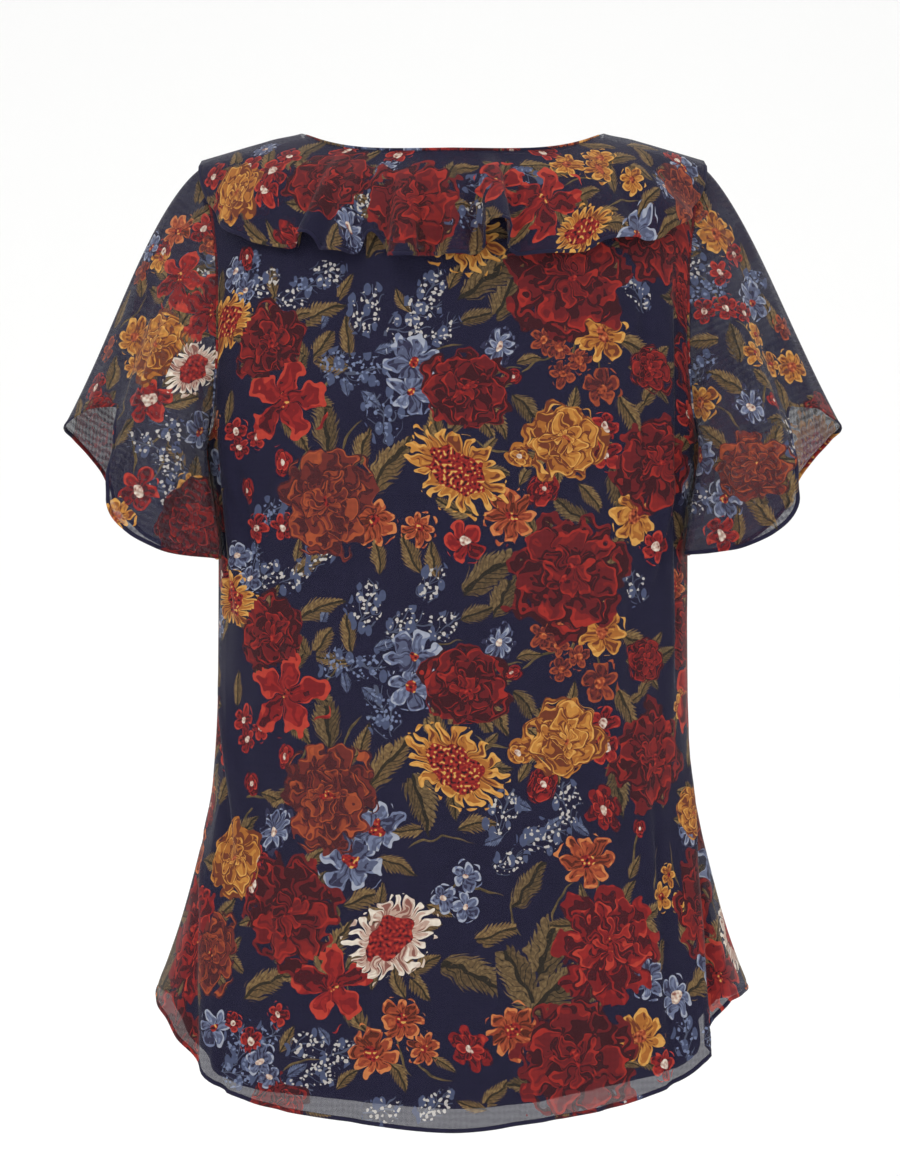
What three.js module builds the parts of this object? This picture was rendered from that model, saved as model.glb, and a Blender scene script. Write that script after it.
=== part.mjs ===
import * as THREE from 'three';

// A short-sleeved blouse in sheer printed crepe chiffon over a plain navy lining, worn on a general
// figure with no wearer in it. Millimetres, +Z up. The wearer faces +Y, so the back is on the -Y side
// and the wearer's right is on +X. The origin is midway between the two points where the shoulder
// seams meet the neckline, which is where the wearer's shoulders hold the blouse up.

// Driving dimensions.
const neckHalf = 109;          // centre to the shoulder seam's neck end
const shoulderHalf = 180;      // centre to the shoulder seam's sleeve end
const shoulderDrop = 21;       // how far the seam falls from the neck to the sleeve
const shoulderRoll = 110;      // height over which the cloth turns from the top to the upright back
const napeDrop = 17;           // back neckline below the origin
const vDepth = 172;            // front neckline below the origin
const underarmZ = -225;
const sideHemZ = -614;         // hem at the silhouette, its highest place
const clothWall = 1.2;
const liningWall = 1.0;
const seamGap = 0.4;           // between two pieces that are sewn together
const roundness = 0.8;         // below 1 the back and front are flatter than an ellipse

// The outer cloth's horizontal sections, from above the shoulder to below the hem.
const bodySections = [
  { z: 40, halfWidth: 187, back: 94, front: 82 },
  { z: -18, halfWidth: 186, back: 98, front: 88 },
  { z: -100, halfWidth: 184, back: 104, front: 101 },
  { z: -170, halfWidth: 182, back: 106, front: 120 },
  { z: -225, halfWidth: 178, back: 105, front: 129 },
  { z: -262, halfWidth: 173, back: 103, front: 127 },
  { z: -305, halfWidth: 169, back: 100, front: 118 },
  { z: -400, halfWidth: 169.5, back: 98, front: 108 },
  { z: -465, halfWidth: 173, back: 102, front: 109 },
  { z: -500, halfWidth: 179, back: 106, front: 111 },
  { z: -530, halfWidth: 186, back: 110, front: 113 },
  { z: -567, halfWidth: 196, back: 115, front: 115 },
  { z: -596, halfWidth: 206, back: 119, front: 117 },
  { z: -614, halfWidth: 213, back: 121, front: 118 },
  { z: -660, halfWidth: 224, back: 125, front: 121 },
  { z: -720, halfWidth: 236, back: 129, front: 124 },
];

// Where the armhole's edge lies, in degrees round from the middle of the back or front.
const armholeEdge = [
  { z: -225, angle: 90 },
  { z: -221, angle: 83 },
  { z: -212, angle: 76.5 },
  { z: -192, angle: 70.5 },
  { z: -150, angle: 66.5 },
  { z: -100, angle: 66 },
  { z: -60, angle: 68.5 },
  { z: -21, angle: 75.4 },
];

// Hem heights, by degrees round from the middle of each panel towards +X. The tail is longest at the
// back, and hangs a little shorter on the right.
const backHem = [
  { angle: -90, z: sideHemZ }, { angle: -71, z: -631 }, { angle: -59, z: -652 }, { angle: -46, z: -676 },
  { angle: -36, z: -688 }, { angle: -18, z: -698 }, { angle: 0, z: -705 }, { angle: 15, z: -698 },
  { angle: 34, z: -685 }, { angle: 47, z: -668 }, { angle: 56, z: -648 }, { angle: 62, z: -630 },
  { angle: 68, z: -619 }, { angle: 90, z: sideHemZ },
];
const frontHem = [
  { angle: -90, z: sideHemZ }, { angle: -60, z: -632 }, { angle: -30, z: -652 }, { angle: 0, z: -658 },
  { angle: 30, z: -652 }, { angle: 60, z: -632 }, { angle: 90, z: sideHemZ },
];
const liningBackHem = [
  { angle: -90, z: -606 }, { angle: -71, z: -624 }, { angle: -59, z: -646 }, { angle: -46, z: -669 },
  { angle: -36, z: -679 }, { angle: -27, z: -682 }, { angle: -12, z: -688 }, { angle: 0, z: -691 },
  { angle: 14, z: -686 }, { angle: 24, z: -678 }, { angle: 34, z: -671 }, { angle: 47, z: -659 },
  { angle: 56, z: -640 }, { angle: 62, z: -623 }, { angle: 68, z: -612 }, { angle: 90, z: -606 },
];
const liningFrontHem = [
  { angle: -90, z: -600 }, { angle: -45, z: -628 }, { angle: 0, z: -640 }, { angle: 45, z: -628 },
  { angle: 90, z: -600 },
];

// How far the lining hangs inside the outer cloth: it has less flare.
const liningInset = [
  { z: 40, gap: seamGap }, { z: -150, gap: seamGap }, { z: -225, gap: 1.2 }, { z: -300, gap: 5 },
  { z: -400, gap: 7 }, { z: -480, gap: 9 }, { z: -600, gap: 14 }, { z: -720, gap: 18 },
];

// Long soft folds. Each is a ridge that rises slowly from the middle of the panel, with a trough
// beyond it. topX and bottomX are the crest's two ends, seen from straight behind or in front.
const backFolds = [
  { top: -185, bottom: -355, topX: -167, bottomX: -150, height: 5, trough: 5, width: 34 },
  { top: -385, bottom: -530, topX: -168, bottomX: -146, height: 5, trough: 4, width: 34 },
  { top: -480, bottom: -770, topX: -179, bottomX: -166, height: 5, trough: 4, width: 38 },
  { top: -70, bottom: -420, topX: 150, bottomX: 154, height: 5, trough: 3, width: 30 },
  { top: -420, bottom: -770, topX: 167, bottomX: 179, height: 5, trough: 10, width: 38 },
];
const frontFolds = [
  { top: -215, bottom: -470, topX: -146, bottomX: -137, height: 6, trough: 4, width: 36 },
  { top: -230, bottom: -500, topX: 140, bottomX: 148, height: 6, trough: 4, width: 36 },
  { top: -500, bottom: -740, topX: -142, bottomX: -150, height: 6, trough: 6, width: 44 },
  { top: -480, bottom: -740, topX: 128, bottomX: 160, height: 6, trough: 6, width: 44 },
];

// The right sleeve's hem, round the arm: 0 is the top of the arm, 90 the back, 180 the underarm.
// It is shortest and flares furthest at the top of the arm, with a flute just behind that.
const sleeveHem = [
  { turn: 0, x: 283, y: 10, z: -209 },
  { turn: 18, x: 262, y: -20, z: -197 },
  { turn: 36, x: 243, y: -38, z: -194 },
  { turn: 56, x: 241, y: -62, z: -226 },
  { turn: 76, x: 245, y: -76, z: -262 },
  { turn: 98, x: 229, y: -80, z: -286 },
  { turn: 122, x: 204, y: -70, z: -300 },
  { turn: 150, x: 183, y: -40, z: -307 },
  { turn: 180, x: 175, y: 0, z: -307 },
  { turn: 210, x: 183, y: 40, z: -307 },
  { turn: 238, x: 203, y: 70, z: -301 },
  { turn: 262, x: 229, y: 80, z: -287 },
  { turn: 284, x: 245, y: 72, z: -268 },
  { turn: 306, x: 252, y: 56, z: -252 },
  { turn: 328, x: 263, y: 42, z: -233 },
  { turn: 346, x: 276, y: 27, z: -217 },
];

// How far each sleeve leaves the top of the armhole before it falls, and how far its hem sags lower
// than the table under the arm.
const sleeveSides = {
  right: { side: 1, head: 78, sag: 0 },
  left: { side: -1, head: 98, sag: 6 },
};

// The flounce's free edge at the back, from the middle to the shoulder, and at the front, from the
// shoulder to the point of the V. along runs 0 to 1 with the neckline.
const backFlounceEdge = [
  { along: 0, x: 0, z: -92 }, { along: 0.2, x: 41, z: -92 }, { along: 0.4, x: 82, z: -90 },
  { along: 0.6, x: 122, z: -85 }, { along: 0.75, x: 149, z: -76 }, { along: 0.86, x: 166, z: -57 },
  { along: 0.94, x: 176, z: -38 }, { along: 1, x: 181, z: -21 },
];
const frontFlounceEdge = [
  { along: 0, x: 181, z: -21 }, { along: 0.07, x: 177, z: -40 }, { along: 0.16, x: 169, z: -62 },
  { along: 0.3, x: 148, z: -92 }, { along: 0.5, x: 113, z: -132 }, { along: 0.7, x: 76, z: -176 },
  { along: 0.86, x: 46, z: -212 }, { along: 1, x: 20, z: -236 },
];

// The flounce's flutes: place along the free edge in mm of X, half width, how far it stands out and
// how far its edge is drawn up.
const backFlutes = [
  { x: -150, half: 20, out: 5, lift: 0 },
  { x: -99, half: 12, out: 10, lift: 9 },
  { x: -80, half: 15, out: 9, lift: 0 },
  { x: -55, half: 12, out: 3, lift: 15 },
  { x: -34, half: 17, out: 15, lift: -2 },
  { x: 2, half: 16, out: 10, lift: 0 },
  { x: 29, half: 15, out: 21, lift: 19 },
  { x: 62, half: 24, out: 6, lift: 0 },
  { x: 112, half: 30, out: 8, lift: 5 },
  { x: 153, half: 18, out: 9, lift: 3 },
];
const frontFlutes = { count: 5, out: 8, lift: 5 };

// Numbers of strips across and rows down each grid.
const panelGrid = { neck: 5, shoulder: 6, lower: 9, upper: 10 };
const liningGrid = { neck: 5, shoulder: 6, lower: 6, upper: 10 };
const sleeveGrid = { round: 28, down: 8 };
const backFlounceGrid = { along: 50, across: 4 };
const frontFlounceGrid = { along: 24, across: 4 };

const radians = Math.PI / 180;
const clamp = (value, low, high) => Math.min(high, Math.max(low, value));
const mix = (a, b, share) => a + (b - a) * share;
const smooth = (from, to, value) => {
  const t = clamp((value - from) / (to - from), 0, 1);
  return t * t * (3 - 2 * t);
};

// Reads one column of a table as a smooth function of another. It never overshoots its rows.
function curve(rows, by, column) {
  const sorted = [...rows].sort((a, b) => a[by] - b[by]);
  const at = sorted.map((row) => row[by]);
  const value = sorted.map((row) => row[column]);
  const slope = at.slice(1).map((x, i) => (value[i + 1] - value[i]) / (x - at[i]));
  const tangent = value.map((_, i) => {
    if (i === 0) return slope[0];
    if (i === slope.length) return slope[i - 1];
    const before = slope[i - 1];
    const after = slope[i];
    return before * after <= 0 ? 0 : (2 * before * after) / (before + after);
  });
  return (x) => {
    if (x <= at[0]) return value[0];
    if (x >= at[at.length - 1]) return value[value.length - 1];
    const i = at.findIndex((next) => next > x) - 1;
    const width = at[i + 1] - at[i];
    const t = (x - at[i]) / width;
    return (1 + 2 * t) * (1 - t) ** 2 * value[i] + t * (1 - t) ** 2 * width * tangent[i]
      + t * t * (3 - 2 * t) * value[i + 1] + t * t * (t - 1) * width * tangent[i + 1];
  };
}

const halfWidthAt = curve(bodySections, 'z', 'halfWidth');
const depthAt = { back: curve(bodySections, 'z', 'back'), front: curve(bodySections, 'z', 'front') };
const armholeAngle = curve(armholeEdge, 'z', 'angle');
const liningGapAt = curve(liningInset, 'z', 'gap');

const shoulderLineZ = (x) => (shoulderDrop * (neckHalf - Math.abs(x))) / (shoulderHalf - neckHalf);
const edgeAngle = (z) => (z <= underarmZ ? 90 : armholeAngle(z));

// The angle of a panel's column, from its share across. Only the outer columns give way to the armhole.
const columnAngle = (across, z) => 90 * across - (90 - edgeAngle(z)) * across ** 3;

// 0 on the shoulder line and 1 a roll's height below it, as a quarter of an ellipse.
function shoulderTurn(x, z) {
  const below = clamp((shoulderLineZ(x) - z) / shoulderRoll, 0, 1);
  return Math.sqrt(1 - (1 - below) ** 2);
}

// A point on the figure at a height and an angle round from the middle of the back or front.
function formPoint(face, angle, z) {
  const sign = face === 'back' ? -1 : 1;
  const x = halfWidthAt(z) * Math.sin(angle * radians);
  const round = Math.max(0, Math.cos(angle * radians)) ** roundness;
  const y = depthAt[face](z) * round * shoulderTurn(x, z);
  return new THREE.Vector3(x, sign * (y + seamGap / 2), z);
}

// The same, given X instead of the angle.
function formPointAtX(face, x, z) {
  const angle = Math.asin(clamp(x / halfWidthAt(z), -1, 1)) / radians;
  return formPoint(face, angle, z);
}

// The neckline: a shallow scoop at the back, and a V with slightly curved sides at the front.
function necklineZ(face, x) {
  const share = clamp(Math.abs(x) / neckHalf, 0, 1);
  return face === 'back' ? -napeDrop * (1 - share ** 4) : -vDepth * (1 - share) ** 0.92;
}

// How far a point of a panel is pushed out by that panel's folds.
function foldHeight(folds, angle, z) {
  let height = 0;
  for (const fold of folds) {
    const down = (z - fold.top) / (fold.bottom - fold.top);
    if (down <= 0 || down >= 1) continue;
    const crestX = mix(fold.topX, fold.bottomX, down) / halfWidthAt(z);
    const crest = Math.asin(clamp(crestX, -0.999, 0.999)) / radians;
    const across = ((angle - crest) * Math.sign(crestX) * radians * halfWidthAt(z)) / fold.width;
    const ridge = fold.height * smooth(-1, 0, across) * (1 - smooth(0, 0.5, across));
    const trough = fold.trough * smooth(0.1, 0.6, across) * (1 - smooth(0.6, 1.2, across));
    height += (ridge - trough) * smooth(0, 0.25, down) * (1 - smooth(0.8, 1, down));
  }
  return height;
}

// A body panel, as a surface over a share across (-1 to 1) and a share up (0 to 2, where 1 is the
// underarm's level). Its top edge follows the shoulder line and the neckline.
function panelSurface(face, hemRows, folds, insetAt) {
  const hemZ = curve(hemRows, 'angle', 'z');
  const topZ = (across) => {
    let z = -10;
    for (let step = 0; step < 12; step += 1) {
      const x = Math.abs(halfWidthAt(z) * Math.sin(columnAngle(across, z) * radians));
      z = x < neckHalf ? necklineZ(face, x) : shoulderLineZ(Math.min(x, shoulderHalf));
    }
    return z;
  };
  return (across, up) => {
    const z = up <= 1
      ? mix(hemZ(across * 90), underarmZ, up)
      : mix(underarmZ, topZ(across), (1 - Math.cos((up - 1) * Math.PI)) / 2);
    const angle = columnAngle(across, z);
    const point = formPoint(face, angle, z);
    const out = foldHeight(folds, angle, z) - insetAt(z);
    const sign = face === 'back' ? -1 : 1;
    const direction = new THREE.Vector3(
      Math.sin(angle * radians) / halfWidthAt(z), (sign * Math.cos(angle * radians)) / depthAt[face](z), 0,
    ).normalize();
    return point.addScaledVector(direction, out * smooth(-6, -60, z - shoulderLineZ(point.x)));
  };
}

// Columns for a panel, with one on each end of the shoulder seam.
function panelColumns({ neck, shoulder }) {
  const neckAngle = Math.asin(neckHalf / halfWidthAt(0)) / radians;
  let atNeck = neckAngle / 90;
  for (let step = 0; step < 12; step += 1) atNeck += (neckAngle - columnAngle(atNeck, 0)) / 90;
  const half = [];
  for (let i = 1; i <= neck; i += 1) half.push((atNeck * i) / neck);
  for (let i = 1; i <= shoulder; i += 1) half.push(mix(atNeck, 1, i / shoulder));
  return [...half.map((share) => -share).reverse(), 0, ...half];
}

// Rows for a panel, with one on the underarm's level.
function panelRows({ lower, upper }) {
  const rows = [];
  for (let i = 0; i <= lower; i += 1) rows.push(i / lower);
  for (let i = 1; i <= upper; i += 1) rows.push(1 + i / upper);
  return rows;
}

// The surface's unit normal, on the side away from the given inner point.
function normalAt(surface, u, v, uRange, vRange, inner) {
  const step = 0.002;
  const low = (value, range) => Math.max(range[0], value - step);
  const high = (value, range) => Math.min(range[1], value + step);
  const alongU = surface(high(u, uRange), v).sub(surface(low(u, uRange), v));
  const alongV = surface(u, high(v, vRange)).sub(surface(u, low(v, vRange)));
  const normal = alongU.cross(alongV).normalize();
  const outward = surface(u, v).sub(inner(u, v));
  return normal.dot(outward) < 0 ? normal.negate() : normal;
}

// A closed wall of cloth: the surface's grid, the same grid moved along its normals, and the rims.
// base and wall are distances along the normal. closed says that the columns meet, as on a sleeve,
// and firstNormal gives the normals of the first row, so that it matches the piece it is sewn to.
function wallOf(surface, columns, rows, { base = 0, wall = clothWall, closed = false, firstNormal, inner }) {
  const uRange = closed ? [-Infinity, Infinity] : [columns[0], columns[columns.length - 1]];
  const vRange = [rows[0], rows[rows.length - 1]];
  const count = columns.length;
  const positions = [];
  for (const layer of [base + wall, base]) {
    for (const v of rows) {
      for (const u of columns) {
        const sewn = firstNormal && v === rows[0];
        const normal = sewn ? firstNormal(u) : normalAt(surface, u, v, uRange, vRange, inner);
        positions.push(...surface(u, v).addScaledVector(normal, layer).toArray());
      }
    }
  }
  const insideStart = count * rows.length;
  const index = [];
  const quad = (a, b, c, d) => index.push(a, b, c, a, c, d);
  const steps = closed ? count : count - 1;
  const next = (i) => (i + 1) % count;
  for (let j = 0; j < rows.length - 1; j += 1) {
    for (let i = 0; i < steps; i += 1) {
      const [a, b] = [j * count + i, j * count + next(i)];
      const [c, d] = [(j + 1) * count + next(i), (j + 1) * count + i];
      quad(a, b, c, d);
      quad(insideStart + a, insideStart + d, insideStart + c, insideStart + b);
    }
  }
  for (let i = 0; i < steps; i += 1) {
    const top = (rows.length - 1) * count;
    quad(insideStart + i, insideStart + next(i), next(i), i);
    quad(top + i, top + next(i), insideStart + top + next(i), insideStart + top + i);
  }
  for (let j = 0; j < rows.length - 1 && !closed; j += 1) {
    const [first, above] = [j * count, (j + 1) * count];
    const last = count - 1;
    quad(first, above, insideStart + above, insideStart + first);
    quad(insideStart + first + last, insideStart + above + last, above + last, first + last);
  }
  return closedBody(positions, index);
}

// Turns the faces round if they point inwards.
function closedBody(positions, index) {
  let volume = 0;
  const corner = (i) => new THREE.Vector3().fromArray(positions, index[i] * 3);
  for (let i = 0; i < index.length; i += 3) {
    volume += corner(i).dot(corner(i + 1).cross(corner(i + 2)));
  }
  if (volume < 0) index.reverse();
  const geometry = new THREE.BufferGeometry();
  geometry.setAttribute('position', new THREE.Float32BufferAttribute(positions, 3));
  geometry.setIndex(index);
  geometry.computeVertexNormals();
  return geometry;
}

const bodyAxis = (surface) => (u, v) => {
  const point = surface(u, v);
  return new THREE.Vector3(point.x * 0.5, 0, Math.min(point.z, -130) - 10);
};

function bodyPanel(face, hemRows, folds) {
  const surface = panelSurface(face, hemRows, folds, () => 0);
  return wallOf(surface, panelColumns(panelGrid), panelRows(panelGrid), { inner: bodyAxis(surface) });
}

function liningPanel(face, hemRows, folds) {
  const surface = panelSurface(face, hemRows, folds, (z) => liningGapAt(z) - seamGap);
  return wallOf(surface, panelColumns(liningGrid), panelRows(liningGrid), {
    base: -2 * seamGap - liningWall, wall: liningWall, inner: bodyAxis(surface),
  });
}

// The armhole's edge by turns round the arm, with the panel's normal there and the direction that
// leads off the panel.
function armholeFrame(turn) {
  const face = turn <= 180 ? 'back' : 'front';
  const sign = turn <= 180 ? -1 : 1;
  const edge = (at) => {
    const height = mix(-shoulderDrop, underarmZ, (1 - Math.cos(at * radians)) / 2);
    return formPoint(at <= 180 ? 'back' : 'front', edgeAngle(height), height);
  };
  const point = edge(turn);
  const angle = edgeAngle(point.z) * radians;
  const level = 1 - clamp((shoulderLineZ(point.x) - point.z) / shoulderRoll, 0, 1);
  const upright = Math.sqrt(1 - level * level);
  const normal = new THREE.Vector3(
    (upright * Math.sin(angle)) / halfWidthAt(point.z),
    (sign * upright * Math.cos(angle)) / depthAt[face](point.z),
    level / shoulderRoll,
  ).normalize();
  const along = edge((turn + 2) % 360).sub(edge((turn + 358) % 360)).normalize();
  const off = along.cross(normal).normalize();
  if (off.x + off.z < 0) off.negate();
  return { point, normal, off };
}

// A sleeve runs out and down from the armhole to its hem. This is the right one, and the left is turned over.
// Round the underarm it starts outside the panels, because it hangs down over them there.
function sleeveSurface({ head, sag }) {
  const wrapped = sleeveHem.flatMap((row) => [-360, 0, 360].map((turn) => ({ ...row, turn: row.turn + turn })));
  const hem = ['x', 'y', 'z'].map((axis) => curve(wrapped, 'turn', axis));
  return (turn, down) => {
    const round = ((turn % 360) + 360) % 360;
    const bearing = round * radians;
    const low = (1 - Math.cos(bearing)) / 2;
    const frame = armholeFrame(round);
    const lap = (clothWall + seamGap + 0.3) * smooth(0.3, 0.8, low);
    const start = frame.point.addScaledVector(frame.off, seamGap + 0.75).addScaledVector(frame.normal, lap);
    const end = new THREE.Vector3(...hem.map((axis) => axis(round)));
    end.z -= sag * low;
    const leave = new THREE.Vector3(mix(head, 26, low), -16 * Math.sin(bearing), -58);
    const arrive = end.clone().sub(start).multiplyScalar(1.05);
    const t = down;
    return start.multiplyScalar((1 + 2 * t) * (1 - t) ** 2)
      .addScaledVector(leave, t * (1 - t) ** 2)
      .addScaledVector(end, t * t * (3 - 2 * t))
      .addScaledVector(arrive, t * t * (t - 1));
  };
}

function sleeve({ side, head, sag }) {
  const surface = sleeveSurface({ head, sag });
  const columns = Array.from({ length: sleeveGrid.round }, (_, i) => (360 * i) / sleeveGrid.round);
  const rows = Array.from({ length: sleeveGrid.down + 1 }, (_, i) => i / sleeveGrid.down);
  const middle = (u, v) => {
    const across = surface(u + 180, v);
    return across.lerp(surface(u, v), 0.5);
  };
  const firstNormal = (turn) => armholeFrame(turn).normal;
  const geometry = wallOf(surface, columns, rows, { closed: true, firstNormal, inner: middle });
  if (side > 0) return geometry;
  const mirrored = Array.from(geometry.attributes.position.array, (value, i) => (i % 3 === 0 ? -value : value));
  return closedBody(mirrored, Array.from(geometry.index.array));
}

// The flounce hangs from the neckline over the panels. Its flutes open towards the free edge.
function flounceSurface(face, edgeRows, alongOfX, fluteAt, onSide = 1) {
  const edgeX = curve(edgeRows, 'along', 'x');
  const edgeZ = curve(edgeRows, 'along', 'z');
  return (place, out) => {
    const along = Math.abs(place);
    const side = Math.sign(place) || onSide;
    const startX = alongOfX(along);
    const startZ = necklineZ(face, startX);
    const flute = fluteAt(side * edgeX(along), along);
    const x = side * mix(startX, edgeX(along), out);
    const z = mix(startZ, edgeZ(along) + flute.lift, out);
    const seat = formPointAtX(face, x, Math.min(z, shoulderLineZ(x)));
    const step = 0.5;
    const beside = formPointAtX(face, x + step, Math.min(z, shoulderLineZ(x + step)));
    const below = formPointAtX(face, x, Math.min(z, shoulderLineZ(x)) - step);
    const normal = beside.sub(seat).cross(below.sub(seat)).normalize();
    const away = new THREE.Vector3(x * 0.3, face === 'back' ? -1 : 1, 20).multiplyScalar(1);
    if (normal.dot(away) < 0) normal.negate();
    const roll = shoulderTurn(x, z + 4);
    const neckEnd = 0.8 * smooth(neckHalf - 20, neckHalf - 5, startX);
    const stand = clothWall + seamGap + 0.8 + neckEnd + (2.2 - neckEnd) * smooth(0, 0.3, out)
      + (3 * smooth(0, 0.5, out) + flute.out * out ** 1.4) * (0.2 + 0.8 * roll);
    return seat.addScaledVector(normal, stand);
  };
}

function backFluteAt(x) {
  let out = 0;
  let lift = 0;
  for (const flute of backFlutes) {
    const near = Math.max(0, 1 - ((x - flute.x) / flute.half) ** 2) ** 2;
    out += flute.out * near;
    lift += flute.lift * near;
  }
  return { out, lift };
}

function frontFluteAt(x, along) {
  const wave = (1 - Math.cos(along * frontFlutes.count * 2 * Math.PI)) / 2;
  return { out: frontFlutes.out * wave, lift: frontFlutes.lift * wave };
}

const behind = (surface, sign) => (u, v) => surface(u, v).add(new THREE.Vector3(0, -sign * 20, -20));

function backFlounce() {
  const { along, across } = backFlounceGrid;
  const surface = flounceSurface('back', backFlounceEdge, (t) => neckHalf * Math.sin(t * 90 * radians), backFluteAt);
  const columns = Array.from({ length: along + 1 }, (_, i) => mix(-1, 1, i / along));
  const rows = Array.from({ length: across + 1 }, (_, i) => i / across);
  return wallOf(surface, columns, rows, { inner: behind(surface, -1) });
}

function frontFlounce(side) {
  const { along, across } = frontFlounceGrid;
  const surface = flounceSurface('front', frontFlounceEdge, (t) => neckHalf * (1 - t * 0.985), frontFluteAt, side);
  const columns = Array.from({ length: along + 1 }, (_, i) => (side * i) / along);
  const rows = Array.from({ length: across + 1 }, (_, i) => i / across);
  return wallOf(surface, columns, rows, { inner: behind(surface, 1) });
}

const printedChiffon = () => new THREE.MeshStandardMaterial({ color: '#2a2a44', roughness: 0.75, metalness: 0 });
const navyLining = () => new THREE.MeshStandardMaterial({ color: '#1c1c33', roughness: 0.55, metalness: 0 });

const blouse = new THREE.Group();
const add = (name, geometry, material) => {
  const mesh = new THREE.Mesh(geometry, material);
  mesh.name = name;
  blouse.add(mesh);
};

add('back', bodyPanel('back', backHem, backFolds), printedChiffon());
add('front', bodyPanel('front', frontHem, frontFolds), printedChiffon());
add('sleeve_right', sleeve(sleeveSides.right), printedChiffon());
add('sleeve_left', sleeve(sleeveSides.left), printedChiffon());
add('flounce_back', backFlounce(), printedChiffon());
add('flounce_front_right', frontFlounce(1), printedChiffon());
add('flounce_front_left', frontFlounce(-1), printedChiffon());
add('lining_back', liningPanel('back', liningBackHem, backFolds), navyLining());
add('lining_front', liningPanel('front', liningFrontHem, frontFolds), navyLining());

export default blouse;
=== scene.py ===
# A short-sleeved blouse in sheer printed crepe chiffon over a plain navy lining, worn on a general
# figure with no wearer in it. It is seen from behind. The tables are in millimetres, as a cutter
# would note them, and everything in Blender is in metres.
import math

import bpy
import numpy as np
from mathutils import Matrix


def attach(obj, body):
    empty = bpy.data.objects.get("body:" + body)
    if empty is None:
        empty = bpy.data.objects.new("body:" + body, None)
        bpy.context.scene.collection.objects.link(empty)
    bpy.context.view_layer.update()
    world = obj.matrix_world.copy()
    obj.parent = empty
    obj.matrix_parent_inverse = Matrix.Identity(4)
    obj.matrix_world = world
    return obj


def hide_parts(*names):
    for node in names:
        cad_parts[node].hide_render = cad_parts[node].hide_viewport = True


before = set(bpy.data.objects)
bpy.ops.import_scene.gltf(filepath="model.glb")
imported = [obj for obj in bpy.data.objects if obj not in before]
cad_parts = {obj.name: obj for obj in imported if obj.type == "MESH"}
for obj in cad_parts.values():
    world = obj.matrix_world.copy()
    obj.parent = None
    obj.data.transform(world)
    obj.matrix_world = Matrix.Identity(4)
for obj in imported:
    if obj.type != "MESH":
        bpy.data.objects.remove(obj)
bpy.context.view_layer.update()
print("frame loaded")


# Small helpers
def addNode(tree, kind, *inputs, named=None, **settings):
    # One node with its settings and links. "Math:ADD" also sets the node's operation.
    name, _, operation = kind.partition(":")
    node = tree.nodes.new("ShaderNode" + name)
    if operation:
        node.operation = operation
    for key, value in settings.items():
        setattr(node, key, value)
    for key, value in [*enumerate(inputs), *(named or {}).items()]:
        if isinstance(value, bpy.types.NodeSocket):
            tree.links.new(value, node.inputs[key])
        elif value is not None:
            node.inputs[key].default_value = value
    return node.outputs


def linearColour(hexValue):
    # An sRGB hex value as the linear colour that Blender's sockets take.
    channels = [int(hexValue[i:i + 2], 16) / 255 for i in (1, 3, 5)]
    return [c / 12.92 if c <= 0.04045 else ((c + 0.055) / 1.055) ** 2.4 for c in channels] + [1.0]


def curve(rows, column=1):
    # Reads a column of a table as a smooth function of its first one, without overshooting.
    rows = sorted(rows)
    at = np.array([row[0] for row in rows], float)
    value = np.array([row[column] for row in rows], float)
    slope = np.diff(value) / np.diff(at)
    before, after = slope[:-1], slope[1:]
    total = np.where(before + after == 0, 1, before + after)
    inner = np.where(before * after <= 0, 0, 2 * before * after / total)
    tangent = np.concatenate([slope[:1], inner, slope[-1:]])

    def read(x):
        x = np.clip(np.asarray(x, float), at[0], at[-1])
        i = np.clip(np.searchsorted(at, x, side="right") - 1, 0, len(at) - 2)
        width = at[i + 1] - at[i]
        t = (x - at[i]) / width
        return ((1 + 2 * t) * (1 - t) ** 2 * value[i] + t * (1 - t) ** 2 * width * tangent[i]
                + t * t * (3 - 2 * t) * value[i + 1] + t * t * (t - 1) * width * tangent[i + 1])
    return read


def mix(a, b, share):
    return a + (b - a) * share


def smooth(start, end, value):
    t = np.clip((value - start) / (end - start), 0, 1)
    return t * t * (3 - 2 * t)


def unit(vectors):
    return vectors / np.maximum(np.linalg.norm(vectors, axis=-1, keepdims=True), 1e-9)


def deselectAll():
    if bpy.context.object and bpy.context.object.mode != "OBJECT":
        bpy.ops.object.mode_set(mode="OBJECT")
    bpy.ops.object.select_all(action="DESELECT")


# Camera, floor and light
view = {"distance": 3.2, "aimX": -0.002, "aimZ": -0.326, "tall": 0.855}
bpy.ops.object.camera_add(location=(view["aimX"], -view["distance"], view["aimZ"]),
                          rotation=(math.pi / 2, 0, 0))
camera = bpy.context.object
camera.name = "camera"
camera.data.sensor_fit = "VERTICAL"
camera.data.lens = camera.data.sensor_height * view["distance"] / view["tall"]
camera.data.clip_end = 30
bpy.context.scene.camera = camera

studio = {"floorZ": -0.86, "frontY": -7.0, "wallY": 4.6, "bend": 1.4, "half": 9.0, "top": 6.0}
floorEnd, bendEnd = 0.5, 0.8   # shares of the sheet's length where the floor and the bend end
deselectAll()
bpy.ops.mesh.primitive_grid_add(x_subdivisions=2, y_subdivisions=40, size=2)
backdrop = bpy.context.object
backdrop.name = "backdrop"
for vertex in backdrop.data.vertices:
    run = (vertex.co.y + 1) / 2
    if run <= floorEnd:
        y, z = mix(studio["frontY"], studio["wallY"] - studio["bend"], run / floorEnd), 0.0
    elif run <= bendEnd:
        turn = (run - floorEnd) / (bendEnd - floorEnd) * math.pi / 2
        y = studio["wallY"] - studio["bend"] + studio["bend"] * math.sin(turn)
        z = studio["bend"] * (1 - math.cos(turn))
    else:
        y, z = studio["wallY"], mix(studio["bend"], studio["top"], (run - bendEnd) / (1 - bendEnd))
    vertex.co = (vertex.co.x * studio["half"], y, z + studio["floorZ"])
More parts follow.
